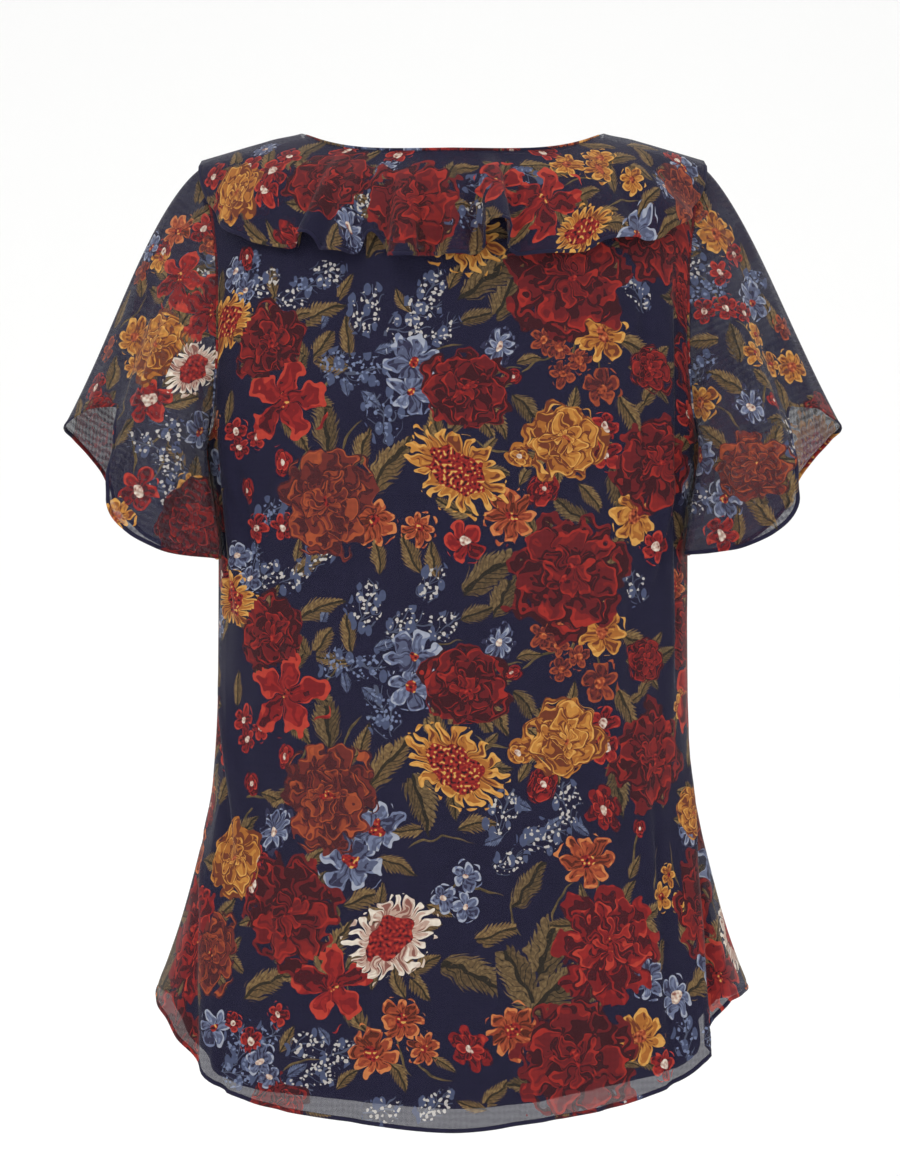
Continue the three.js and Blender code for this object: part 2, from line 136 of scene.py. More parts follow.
bpy.ops.object.shade_smooth()
paper = bpy.data.materials.new("seamless white paper")  # matt and even, so the floor runs into the wall
paper.use_nodes = True
paperNodes = paper.node_tree
paperNodes.nodes.clear()
grain = addNode(paperNodes, "TexNoise", named={"Scale": 3.0, "Detail": 2.0})[0]
tint = addNode(paperNodes, "Mix", data_type="RGBA", named={
    0: grain, 6: linearColour("#f6f6f6"), 7: linearColour("#fbfbfa")})[2]
paperShader = addNode(paperNodes, "BsdfPrincipled", named={
    "Base Color": tint, "Roughness": 0.9, "Specular IOR Level": 0.2})[0]
addNode(paperNodes, "OutputMaterial", paperShader)
backdrop.data.materials.append(paper)

for name, place, turn, size, power in [
    ("high soft box", (-1.4, -2.6, 2.2), (50, 0, -28), 2.4, 34),
    ("side soft box", (2.6, -1.8, 0.4), (84, 0, 55), 1.8, 8),
    ("backdrop light", (0, 2.4, 2.8), (-35, 0, 0), 3.5, 46),
]:
    bpy.ops.object.light_add(type="AREA", location=place, rotation=[math.radians(a) for a in turn])
    lamp = bpy.context.object
    lamp.name = name
    lamp.data.size = size
    lamp.data.energy = power
world = bpy.data.worlds.new("soft white room")
bpy.context.scene.world = world
world.use_nodes = True
world.node_tree.nodes["Background"].inputs[0].default_value = (1, 1, 1, 1)
world.node_tree.nodes["Background"].inputs[1].default_value = 0.84
bpy.context.scene.view_settings.view_transform = "Standard"
print("camera, floor and light set")

# The figure that the cloth hangs on, with the same values as the CAD part
figure = {
    "neckHalf": 109,
    "shoulderHalf": 180,
    "shoulderDrop": 21,
    "shoulderRoll": 110,
    "napeDrop": 17,
    "vDepth": 172,
    "underarmZ": -225,
    "seamGap": 0.4,
    "clothWall": 1.2,
    "liningWall": 1.0,
    "roundness": 0.8}
bodySections = [  # z, half width, depth of the back, depth of the front
    (40, 187, 94, 82), (-18, 186, 98, 88), (-100, 184, 104, 101), (-170, 182, 106, 120),
    (-225, 178, 105, 129), (-262, 173, 103, 127), (-305, 169, 100, 118), (-400, 169.5, 98, 108),
    (-465, 173, 102, 109), (-500, 179, 106, 111), (-530, 186, 110, 113), (-567, 196, 115, 115),
    (-596, 206, 119, 117), (-614, 213, 121, 118), (-660, 224, 125, 121), (-720, 236, 129, 124)]
armholeEdge = [
    (-225, 90), (-221, 83), (-212, 76.5), (-192, 70.5), (-150, 66.5), (-100, 66), (-60, 68.5), (-21, 75.4)]
hems = {  # degrees round from the panel's middle, z
    "back": [
        (-90, -614), (-71, -631), (-59, -652), (-46, -676), (-36, -688), (-18, -698), (0, -705), (15, -698),
        (34, -685), (47, -668), (56, -648), (62, -630), (68, -619), (90, -614)],
    "front": [(-90, -614), (-60, -632), (-30, -652), (0, -658), (30, -652), (60, -632), (90, -614)],
    "liningBack": [
        (-90, -611), (-71, -629), (-59, -651), (-46, -673), (-36, -681), (-27, -683), (-12, -688),
        (0, -691), (14, -687), (24, -680), (34, -674), (47, -664), (56, -645), (62, -628), (68, -617),
        (90, -611)],
    "liningFront": [(-90, -600), (-45, -628), (0, -640), (45, -628), (90, -600)]}
liningInset = [
    (40, 0.4), (-150, 0.4), (-225, 1.2), (-300, 5), (-400, 7), (-480, 9), (-600, 14), (-720, 18)]
# Folds: top z, bottom z, top x, bottom x, height, trough, width. The long ones are the CAD part's.
folds = {
    "back": [
        (-185, -355, -167, -150, 5, 5, 34), (-385, -530, -168, -146, 5, 4, 34),
        (-480, -770, -179, -166, 5, 4, 38), (-70, -420, 150, 154, 5, 3, 30),
        (-420, -770, 167, 179, 5, 10, 38)],
    "front": [
        (-215, -470, -146, -137, 6, 4, 36), (-230, -500, 140, 148, 6, 4, 36),
        (-500, -740, -142, -150, 6, 6, 44), (-480, -740, 128, 160, 6, 6, 44)]}
creases = {  # finer ones, which only the scene has, uneven in length, depth and spacing
    "back": [
        (-96, -300, -118, -126, 1.6, 1.2, 15), (-120, -225, -92, -100, 0.9, 0.8, 12),
        (-228, -345, -150, -128, 2.4, 1.8, 14), (-236, -300, -162, -138, 1.8, 1.4, 9),
        (-330, -470, -120, -112, 1.3, 1.2, 17), (-520, -715, -126, -112, 2.4, 1.8, 20),
        (-560, -720, -72, -60, 1.6, 1.4, 18), (-590, -720, 24, 30, 1.4, 1.3, 21),
        (-540, -720, 88, 102, 2.0, 1.8, 19), (-450, -720, 136, 150, 2.6, 2.2, 15),
        (-96, -255, 128, 131, 1.7, 1.2, 12), (-236, -330, 158, 138, 2.2, 1.6, 12),
        (-300, -440, 118, 122, 1.2, 1.0, 15), (-180, -330, 60, 52, 0.8, 0.8, 26),
        (-200, -390, -44, -50, 0.7, 0.8, 30), (-640, -720, -158, -152, 2.6, 2.4, 13),
        (-600, -720, 176, 182, 2.8, 2.4, 12), (-655, -720, 60, 64, 1.6, 1.5, 13)],
    "front": [
        (-236, -330, -150, -118, 2.6, 1.9, 14), (-240, -345, 148, 120, 2.4, 1.8, 13),
        (-205, -300, -96, -70, 2.0, 1.5, 15), (-214, -318, 90, 66, 1.8, 1.6, 16),
        (-200, -420, -22, -30, 1.4, 1.3, 20), (-186, -380, 16, 26, 1.7, 1.4, 17),
        (-430, -650, -96, -108, 2.2, 1.8, 21), (-470, -650, -40, -46, 1.5, 1.5, 20),
        (-440, -650, 34, 42, 1.8, 1.6, 22), (-500, -650, 84, 92, 2.0, 1.7, 18),
        (-560, -650, 0, -4, 1.3, 1.2, 17)]}
rad = math.pi / 180
halfWidth = curve(bodySections, 1)
depth = {"back": curve(bodySections, 2), "front": curve(bodySections, 3)}
armholeAngle = curve(armholeEdge)
liningGap = curve(liningInset)


def facing(face):
    return -1 if face == "back" else 1


def shoulderLine(x):
    long = figure["shoulderHalf"] - figure["neckHalf"]
    return figure["shoulderDrop"] * (figure["neckHalf"] - np.abs(x)) / long


def columnAngle(across, z):
    edge = np.where(z <= figure["underarmZ"], 90.0, armholeAngle(z))
    return 90 * across - (90 - edge) * across ** 3


def shoulderTurn(x, z):
    below = np.clip((shoulderLine(x) - z) / figure["shoulderRoll"], 0, 1)
    return np.sqrt(1 - (1 - below) ** 2)


def formPoint(face, angle, z):
    x = halfWidth(z) * np.sin(angle * rad)
    y = depth[face](z) * np.maximum(0, np.cos(angle * rad)) ** figure["roundness"] * shoulderTurn(x, z)
    return np.stack(np.broadcast_arrays(x, facing(face) * (y + figure["seamGap"] / 2), z), -1)


def formPointAtX(face, x, z):
    return formPoint(face, np.arcsin(np.clip(x / halfWidth(z), -1, 1)) / rad, z)


def necklineZ(face, x):
    share = np.clip(np.abs(x) / figure["neckHalf"], 0, 1)
    if face == "back":
        return -figure["napeDrop"] * (1 - share ** 4)
    return -figure["vDepth"] * (1 - share) ** 0.92


def foldHeight(rows, angle, z):
    height = np.zeros(np.broadcast(angle, z).shape)
    for top, bottom, topX, bottomX, rise, trough, width in rows:
        down = (z - top) / (bottom - top)
        crestX = mix(topX, bottomX, down) / halfWidth(z)
        crest = np.arcsin(np.clip(crestX, -0.999, 0.999)) / rad
        across = (angle - crest) * np.sign(crestX) * rad * halfWidth(z) / width
        ridge = rise * smooth(-1, 0, across) * (1 - smooth(0, 0.5, across))
        dip = trough * smooth(0.1, 0.6, across) * (1 - smooth(0.6, 1.2, across))
        height += (ridge - dip) * smooth(0, 0.25, down) * (1 - smooth(0.8, 1, down))
    return height


def surfaceNormals(points, closed=False):
    # The grid's unit normals, the way its faces point. Rows run upwards and columns across.
    if closed:
        ring = points[:, :-1]
        across = np.roll(ring, -1, 1) - np.roll(ring, 1, 1)
        across = np.concatenate([across, across[:, :1]], 1)
    else:
        across = np.gradient(points, axis=1)
    return unit(np.cross(across, np.gradient(points, axis=0)))


def runningLength(points, axis, start):
    # Distance along the rows or columns, measured from the given place in them.
    step = np.linalg.norm(np.diff(points, axis=axis), axis=-1)
    total = np.cumsum(step, axis=axis)
    total = np.concatenate([np.zeros_like(np.take(total, [0], axis=axis)), total], axis=axis)
    return total - np.take(total, [start], axis=axis)


def layCloth(name, points, flat, closed=False, outward=None):
    # A flat grid laid onto a piece's form. points and flat are in mm, by row and column, and flat
    # is where each point lies on the cloth before it is sewn.
    if outward is not None and np.sum(surfaceNormals(points, closed) * outward) < 0:
        points, flat = points[:, ::-1], flat[:, ::-1]
    rows, columns = points.shape[:2]
    deselectAll()
    bpy.ops.mesh.primitive_grid_add(x_subdivisions=columns - 1, y_subdivisions=rows - 1, size=2)
    piece = bpy.context.object
    piece.name = name
    mesh = piece.data
    mesh.name = name
    place = np.empty(len(mesh.vertices) * 3)
    mesh.vertices.foreach_get("co", place)
    place = place.reshape(-1, 3)
    column = np.rint((place[:, 0] + 1) / 2 * (columns - 1)).astype(int)
    row = np.rint((place[:, 1] + 1) / 2 * (rows - 1)).astype(int)
    mesh.vertices.foreach_set("co", (points[row, column] / 1000).ravel())
    corner = np.empty(len(mesh.loops), int)
    mesh.loops.foreach_get("vertex_index", corner)
    mesh.uv_layers[0].name = "flatCloth"
    mesh.uv_layers[0].data.foreach_set("uv", (flat[row, column][corner] / 1000).ravel())
    if closed:
        bpy.ops.object.mode_set(mode="EDIT")
        bpy.ops.mesh.select_all(action="SELECT")
        bpy.ops.mesh.remove_doubles(threshold=0.00002)
        bpy.ops.object.mode_set(mode="OBJECT")
    mesh.update()
    return piece


def thicken(piece, thickness, outer, inner):
    # The cloth's own thickness, with the reverse of the cloth on its inner side.
    piece.data.materials.append(outer)
    piece.data.materials.append(inner)
    wall = piece.modifiers.new("cloth", "SOLIDIFY")
    wall.thickness = thickness / 1000
    wall.offset = -1
    wall.material_offset = 1
    bpy.context.view_layer.objects.active = piece
    bpy.ops.object.modifier_apply(modifier=wall.name)
    bpy.ops.object.shade_smooth()
    return piece


# The print: ordinary garden flowers and leaves, charted in mm of flat cloth
repeat = {"wide": 337, "high": 360, "left": -168, "top": -303}
# Blooms: kind, x, z, radius, turn. Each kind's look is in the next table.
bigBlooms = [
    ("peony", 83, -315, 37.2, 10), ("redRose", 9, -396, 25.3, 0), ("ochreRose", 80, -431, 23.9, 20),
    ("sunflower", 2, -452, 31.6, -35), ("rustRose", -90, -473, 34.4, 90), ("redRose", -135, -360, 24.6, 60),
    ("lily", -122, -401, 26.7, 80), ("peony", 156, -447, 30.9, 40), ("ochreRose", -173, -518, 24.6, 0),
    ("peony", -118, -556, 33.7, 70), ("redPeony", 115, -577, 37.2, 90), ("rustRose", -192, -584, 26.7, 100),
    ("lily", -85, -605, 24.6, 20), ("creamDaisy", -44, -572, 29.5, 35),
    ("sunflower", -175, -333, 23.9, -20), ("redRose", 146, -377, 14.0, 0), ("peony", 88, -657, 38, 20)]
smallBlooms = [
    ("anemone", -28, -374, 17.6, 10), ("anemone", -29, -396, 15.5, 40), ("cornflower", 33, -365, 14.0, 60),
    ("ochreDaisy", 107, -357, 16.9, 0), ("rustStar", 64, -360, 9.1, 0), ("rustStar", 77, -351, 8.4, 30),
    ("rustStar", 75, -366, 8.4, 60), ("rustStar", 90, -374, 8.4, 10), ("rustStar", 78, -384, 8.4, 40),
    ("rustStar", 107, -393, 12.6, 20), ("bud", 42, -386, 7.0, 20), ("redStar", 109, -421, 10.5, 0),
    ("redStar", 110, -440, 11.9, 30), ("ochreBud", 47, -442, 9.8, 150), ("rosebud", 64, -464, 13.3, 60),
    ("bud", -123, -445, 9.1, 80), ("bud", -154, -465, 8.4, 100), ("redStar", -164, -420, 9.8, 0),
    ("redStar", -160, -434, 8.4, 40), ("redStar", -145, -427, 7.7, 20), ("anemone", -54, -495, 17.6, 20),
    ("anemone", -72, -519, 20.4, 50), ("cornflower", -131, -497, 16.9, 60),
    ("sideBloom", 110, -483, 15.5, 110), ("rustDaisy", 97, -518, 19.0, 0), ("redStar", -148, -518, 10.5, 0),
    ("redStar", -150, -538, 13.3, 20), ("forget", 9, -529, 9.8, 0), ("forget", 9, -549, 9.8, 30),
    ("forget", -6, -544, 9.1, 50), ("bud", 140, -497, 7.0, 90), ("ochreStar", 173, -530, 7.7, 0),
    ("ochreStar", 164, -545, 9.8, 30), ("ochreStar", 182, -549, 7.0, 50), ("rustDaisy", -36, -629, 14.8, 0),
    ("rustDaisy", -57, -652, 16.2, 40), ("rustDaisy", -20, -648, 10.5, 20),
    ("rustDaisy", 43, -636, 17.6, 10), ("sideBloom", 12, -648, 16.9, 130),
    ("ochreDaisy", 138, -641, 16.9, 30), ("redStar", 157, -662, 10.5, 0), ("anemone", -179, -636, 13.3, 0),
    ("forget", -141, -659, 10.5, 10), ("forget", -134, -670, 8.4, 40), ("paleStar", 145, -601, 12.6, 0),
    ("paleStar", 171, -615, 13.3, 40), ("redStar", -126, -626, 8.4, 0), ("redStar", -148, -645, 8.4, 30),
    ("redStar", -164, -633, 7.0, 0), ("forget", -165, -303, 9.1, 0), ("forget", -155, -319, 8.4, 30)]
# Leaves of each kind: x, z, half length, turn, bend. Stems have the same values.
leaves = {
    "olive": [
        (-95, -340, 16.9, 20, 0.1), (-75, -357, 12.6, 95, 0.1), (-108, -368, 11.2, 110, 0),
        (-93, -363, 14.0, 55, 0.1), (-87, -377, 12.6, 165, 0.1), (137, -363, 15.5, -20, 0.1),
        (97, -343, 9.1, 110, 0), (54, -373, 8.4, 10, 0.2), (146, -395, 10.5, 60, 0.1),
        (137, -405, 8.4, 30, 0), (-12, -422, 14.0, 100, 0.1), (2, -416, 11.2, 70, 0),
        (31, -416, 14.0, -55, 0.1), (-46, -448, 22.5, 50, 0.1), (-64, -436, 13.3, 70, 0),
        (86, -403, 9.8, 80, 0), (130, -413, 16.9, -60, 0.1), (18, -492, 13.3, 10, 0.1),
        (-32, -497, 11.2, 185, 0.1), (-9, -552, 9.1, -20, 0), (-40, -521, 13.3, -20, 0.1),
        (-100, -517, 11.9, 40, 0), (-61, -544, 15.5, 15, 0.1), (-53, -556, 12.6, -15, 0),
        (32, -568, 16.9, 15, 0.1), (84, -624, 18.3, -10, 0.1), (127, -544, 12.6, 60, 0.1),
        (146, -570, 16.9, -70, 0.1), (158, -587, 12.6, 60, 0), (-20, -589, 11.9, 30, 0.1),
        (-24, -605, 11.2, -50, 0), (-39, -603, 10.5, 110, 0.1), (-83, -577, 16.9, 60, 0.1),
        (-136, -604, 19.7, 25, 0.1), (-171, -584, 12.6, 50, 0), (-69, -624, 13.3, 120, 0.15),
        (-6, -659, 8.4, -30, 0), (-170, -398, 11.2, 80, 0), (-188, -306, 11.2, 60, 0),
        (-133, -475, 11.2, -20, 0.1), (-110, -468, 9.8, 90, 0.1), (189, -363, 12.6, 80, 0.1),
        (189, -566, 18.3, 100, 0), (135, -524, 8.4, 60, 0), (58, -429, 8.4, -30, 0),
        (51, -454, 8.4, 60, 0.1), (144, -659, 11.2, -40, 0), (118, -643, 9.8, 200, 0),
        (-119, -643, 9.8, 60, 0), (-37, -666, 11.2, -60, 0.2), (-76, -669, 9.8, 40, 0.2)],
    "brown": [
        (28, -313, 23.9, 35, 0.1), (37, -329, 18.3, 70, -0.1), (18, -343, 11.9, 20, 0.1),
        (-91, -417, 19.7, 95, 0.05), (53, -409, 13.3, -50, 0.1), (-22, -476, 21.1, -70, 0.1),
        (122, -469, 18.3, -75, 0.1), (54, -534, 16.9, 55, 0.05), (65, -584, 30.9, 75, 0.1),
        (46, -596, 28.1, 120, -0.1), (76, -605, 26.7, 40, 0.1), (18, -598, 23.9, -25, 0.1),
        (-207, -608, 15.5, 120, 0.1)],
    "slate": [
        (-92, -346, 7, 60, 0), (-47, -366, 8, 20, 0), (-76, -392, 7, 100, 0), (-58, -402, 8, -40, 0),
        (48, -478, 8, 150, 0), (72, -492, 8, 30, 0), (28, -504, 7, 200, 0), (92, -496, 7, -30, 0),
        (-112, -664, 7, 30, 0), (-92, -640, 7, 120, 0), (126, -318, 7, 20, 0)]}
stems = [
    (-9, -502, 25.3, 5, 0.25), (-109, -485, 18.3, 150, 0.25), (20, -538, 18.3, -10, 0.2),
    (-1, -537, 12.6, 40, 0.2), (42, -556, 15.5, 100, 0.25), (-83, -552, 19.7, -60, 0.25),
    (-57, -573, 12.6, 60, 0.2), (-37, -649, 21.1, 100, 0.2), (-16, -665, 16.9, 150, 0.25),
    (-71, -615, 18.3, 110, 0.25), (65, -373, 21.1, 20, 0.2), (87, -363, 18.3, 70, 0.2),
    (33, -382, 18.3, 20, 0.2), (105, -377, 18.3, 95, 0.15), (-110, -447, 15.5, 70, 0.2),
    (-145, -475, 18.3, -10, 0.2), (-87, -387, 16.9, 40, 0.2), (-9, -366, 16.9, 20, 0.2),
    (135, -510, 15.5, 80, 0.2), (105, -531, 14.0, 80, 0.1), (155, -524, 16.9, 70, 0.2),
    (76, -545, 18.3, 60, 0.2), (65, -643, 16.9, 30, 0.2), (26, -436, 14.0, 160, 0.2),
    (-30, -591, 15.5, -40, 0.2), (-73, -426, 14.0, 60, 0.2), (111, -615, 16.9, 40, 0.2),
    (-158, -489, 18.3, 60, 0.2), (179, -524, 16.9, 100, 0.2), (-108, -658, 16.9, 20, 0.2)]
# Sprays of tiny flowers of each kind: x, z, radius, turn.
sprays = {
    "white": [
        (-61, -339, 14.8, 70), (-29, -353, 15.5, 10), (-6, -353, 10.5, 40), (-15, -323, 11.9, 60),
        (136, -325, 11.2, 110), (35, -485, 14.0, 70), (82, -479, 14.0, 100), (63, -502, 14.0, 20),
        (40, -518, 10.5, 30), (-104, -646, 12.6, 20), (-80, -651, 11.2, 30), (-95, -665, 12.6, 20),
        (-115, -677, 11.9, 0), (-138, -317, 11.2, 30)],
    "slate": [
        (-84, -377, 11.2, 50), (-64, -382, 14.0, 0), (-49, -413, 15.5, 110), (-158, -649, 14.0, 80),
        (-134, -641, 11.2, 40), (178, -643, 12.6, 90), (-151, -306, 11.2, 60)]}
# Each palette has a line colour and three tones, dark to light.
palettes = {
    "maroon": ("#3c1018", "#67191e", "#83201f", "#a02a23"),
    "rust": ("#4a1e22", "#6b2a26", "#92422a", "#a74f2e"),
    "ochre": ("#6e3520", "#a8672c", "#c4863c", "#d8a052"),
    "blue": ("#302f48", "#565c76", "#717a96", "#a4a9b8"),
    "cream": ("#8a584e", "#bfa090", "#d6c2b2", "#e8dccc"),
    "red": ("#47101a", "#7a191d", "#962321", "#b83c2e"),
    "heart": ("#371015", "#7c1a1e", "#9c2821", "#d6a657"),
    "orange": ("#562217", "#8f3c26", "#ab5230", "#cc7c48")}
paletteNames = list(palettes)
leafPalettes = {
    "olive": ("#30281c", "#5e4a30", "#72593a", "#8b7149"),
    "brown": ("#29231b", "#4e3e2a", "#634f35", "#7a6444"),
    "slate": ("#2b2e48", "#454c66", "#5a637e", "#727b94"),
    "stem": ("#4b4029", "#5e4d30", "#6c5938", "#7b6742")}
leafNames = list(leafPalettes)
# Kinds of bloom: petals, notch between them, rings of petals, heart's size, palette, heart's palette,
# length to width.
bloomKinds = {
    "peony": (7, 0.26, 2.4, 0.08, "maroon", "red", 1.0),
    "redPeony": (8, 0.28, 2.7, 0.1, "red", "heart", 1.05),
    "redRose": (6, 0.2, 3.3, 0.1, "maroon", "red", 1.0),
    "rustRose": (7, 0.22, 4.2, 0.06, "rust", "heart", 1.15),
    "ochreRose": (6, 0.2, 3.4, 0.08, "ochre", "orange", 1.0),
    "sunflower": (19, 0.36, 1.0, 0.56, "ochre", "heart", 1.5),
    "creamDaisy": (20, 0.36, 1.0, 0.52, "cream", "red", 1.45),
    "lily": (5, 0.72, 1.0, 0.12, "red", "heart", 1.0),
    "anemone": (6, 0.46, 1.0, 0.22, "blue", "heart", 1.0),
    "cornflower": (8, 0.55, 1.2, 0.2, "blue", "cream", 1.35),
    "ochreDaisy": (7, 0.4, 1.0, 0.26, "ochre", "orange", 1.0),
    "rustDaisy": (8, 0.42, 1.0, 0.25, "orange", "heart", 1.0),
    "rustStar": (5, 0.48, 1.0, 0.28, "rust", "orange", 1.0),
    "redStar": (5, 0.46, 1.0, 0.26, "red", "cream", 1.0),
    "ochreStar": (5, 0.46, 1.0, 0.26, "ochre", "heart", 1.0),
    "paleStar": (7, 0.46, 1.0, 0.28, "blue", "cream", 1.0),
    "forget": (5, 0.42, 1.0, 0.2, "blue", "cream", 1.0),
    "sideBloom": (6, 0.4, 1.6, 0.16, "red", "cream", 1.35),
    "bud": (3, 0.3, 1.5, 0.2, "red", "cream", 1.5),
    "ochreBud": (3, 0.26, 1.5, 0.2, "ochre", "cream", 1.3),
    "rosebud": (4, 0.28, 2.2, 0.18, "red", "cream", 1.4)}
leafBreadth = {"olive": 0.40, "brown": 0.44, "slate": 0.42}
# How far the inks reach beyond the charted size
spread = {"big": 1.22, "small": 1.13, "leaf": 1.22, "spray": 1.2}


def leavesRoundBlooms(large):
    # Each large bloom has leaves that come out from under it, as uneven as drawn ones.
    rows = []
    for number, (_, x, z, size, turn) in enumerate(large):
        for step in range(4):
            bearing = turn + 90 * step + 34 * math.sin(number * 2.7 + step * 1.9)
            reach = size * (0.98 + 0.16 * math.sin(number * 1.3 + step * 2.3))
            half = 10.5 + 3.5 * math.sin(number * 3.1 + step * 1.1)
            leafX, leafZ = x + reach * math.cos(bearing * rad), z + reach * math.sin(bearing * rad)
            kind = "brown" if (number + step) % 3 == 0 else "olive"
            rows.append((kind, leafX, leafZ, half, bearing + 22 * math.sin(number + step * 4), 0.1))
    return rows


def motifRows(large, small, leafTable, stemTable, sprayTable):
    # Every motif of a chart: layer, x, z, size, turn, length to width, third value, and its form.
    rows = []
    for layer, table in (("big", large), ("small", small)):
        for number, (kind, x, z, size, turn) in enumerate(table):
            petals, notch, rings, heart, palette, heartPalette, long = bloomKinds[kind]
            inks = paletteNames.index(palette) + paletteNames.index(heartPalette) / 10
            form = (petals + heart, rings, inks)
            rows.append((layer, x, z, size * spread[layer], turn, long, notch + number % 13, form))
    charted = [(kind, *row) for kind, part in leafTable.items() for row in part]
    for kind, x, z, size, turn, bend in charted + leavesRoundBlooms(large):
        size = size * spread["leaf"]
        form = (leafBreadth[kind], 5 if size > 14 else 4, leafNames.index(kind))
        rows.append(("leaf", x, z, size, turn, 1, bend, form))
    for x, z, size, turn, bend in stemTable:
        rows.append(("stem", x, z, size, turn, 1, bend, (1.1 / size, 0.5, leafNames.index("stem"))))
    for kind, part in sprayTable.items():
        form = (0 if kind == "white" else 1, 0, 0)
        rows += [("spray", x, z, size * spread["spray"], turn, 1.5, 0, form) for x, z, size, turn in part]
    return rows


def movedMotifs(rows, dx, dz):
    return [(row[0], row[1] + dx, row[2] + dz, *row[3:]) for row in rows]


# Only on the back: between the chart and its upper copy, and along the hem.
backBlooms = [
    ("rustDaisy", -56, -279, 15, 20), ("rustDaisy", -24, -284, 11, 0), ("redStar", 8, -293, 14, 40),
    ("redStar", -146, -284, 9, 0), ("redStar", -124, -282, 9, 30), ("rustDaisy", 41, -275, 17, 0),
    ("ochreDaisy", 134, -275, 17, 20), ("redStar", 152, -296, 11, 0), ("redRose", -126, -690, 20, 0),
    ("anemone", 214, -592, 15, 0), ("forget", -226, -586, 11, 20), ("redStar", -206, -552, 12, 0),
    ("ochreDaisy", 200, -148, 14, 0), ("redStar", 190, -188, 12, 20), ("cornflower", 196, -250, 14, 80),
    ("anemone", 210, -352, 15, 0), ("rustDaisy", 186, -326, 13, 0), ("redStar", 236, -448, 12, 0),
    ("ochreStar", 198, -398, 9, 0), ("ochreStar", 190, -412, 9, 30), ("rustDaisy", -196, -196, 14, 0),
    ("anemone", -196, -240, 13, 0), ("redStar", -204, -316, 12, 0), ("ochreDaisy", -236, -370, 13, 0),
    ("cornflower", -200, -352, 13, 60), ("redStar", -198, -446, 11, 0), ("rustDaisy", -230, -472, 14, 0),
    ("redStar", -188, -128, 11, 0)]
backSides = [
    ("redRose", 212, -300, 21, 0), ("ochreRose", 222, -222, 18, 0), ("peony", 228, -404, 24, 20),
    ("ochreRose", 212, -486, 17, 40), ("redRose", 182, -104, 16, 0), ("redRose", -220, -420, 20, 0),
    ("ochreRose", -214, -168, 16, 0), ("redRose", -222, -276, 19, 30), ("rustRose", 232, -150, 18, 0)]
backLeaves = {
    "olive": [
        (190, -216, 13, 60, 0.1), (236, -262, 13, 100, 0.1), (188, -282, 12, 120, 0.1),
        (208, -440, 13, 70, 0.1), (240, -350, 13, 90, 0.1), (204, -176, 12, 30, 0.1),
        (-196, -222, 13, 100, 0.1), (-238, -340, 13, 80, 0.1), (-200, -470, 13, 60, 0.1),
        (-190, -262, 12, 40, 0.1), (-204, -386, 12, 120, 0.1), (196, -130, 12, 100, 0.1),
        (-104, -309, 13, 30, 0.1), (-53, -302, 12, 100, 0), (-30, -302, 14, 115, 0.1),
        (-14, -306, 12, 100, 0.1), (118, -299, 14, 70, 0.1), (-112, -300, 9, 80, 0),
        (64, -288, 12, 60, 0.1), (-82, -268, 13, 20, 0.1), (100, -262, 12, -50, 0.1),
        (0, -270, 13, 160, 0.1), (-77, -114, 10, 60, 0.1), (-107, -132, 10, 20, 0.1),
        (-132, -108, 10, 100, 0.1), (2, -106, 10, 60, 0.1), (-36, -124, 9, 120, 0.1),
        (30, -679, 13, 40, 0.1), (13, -688, 10, 160, 0.1)],
    "brown": [(84, -272, 14, 150, 0.1), (-98, -700, 12, 10, 0.1)]}
backSprays = {
    "white": [
        (-94, -299, 12, 60), (-117, -318, 12, 20), (-77, -280, 10, 0), (-50, -691, 12, 10),
        (-13, -687, 12, 40), (130, -690, 10, 0), (212, -188, 11, 0), (186, -352, 10, 0),
        (-236, -306, 11, 0), (-90, -104, 11, 0), (-116, -121, 11, 0), (-20, -128, 11, 0)],
    "slate": [
        (-134, -272, 12, 30), (-160, -668, 12, 0), (232, -318, 11, 0), (-236, -222, 11, 0),
        (-103, -112, 10, 0)]}


def insideRepeat(row):
    return (repeat["left"] <= row[1] < repeat["left"] + repeat["wide"]
            and repeat["top"] - repeat["high"] < row[2] <= repeat["top"])


chart = motifRows(bigBlooms, smallBlooms, leaves, stems, sprays)
backOnly = motifRows(backSides, backBlooms, backLeaves, [], backSprays)
tile = [row for row in chart if insideRepeat(row)]


def tiledMotifs(dx=0, dz=0):
    rows = []
    for i in range(-3, 4):
        for j in range(-3, 4):
            rows += movedMotifs(tile, dx + i * repeat["wide"], dz + j * repeat["high"])
    return rows


def backMotifs():
    # The back was cut with its middle on the chart, and the print meets itself again higher up.
    again = 208.6
    half = [row for row in chart if -473 <= row[2] <= repeat["top"]]
    upper, higher = movedMotifs(half, 0, again), movedMotifs(half, 0, 2 * again - 40)
    sides = []
    for shift in (-repeat["wide"], repeat["wide"]):
        sides += [row for row in movedMotifs(chart + upper, shift, 0) if not -212 < row[1] < 200]
    return chart + backOnly + upper + [row for row in higher if row[2] > -90] + sides


layers = ("stem", "leaf", "spray", "small", "big")
motifReach = 1.35   # a motif's ink lies within this many of its sizes from its middle
unprinted = 9.0     # the place given to corners that no motif reaches


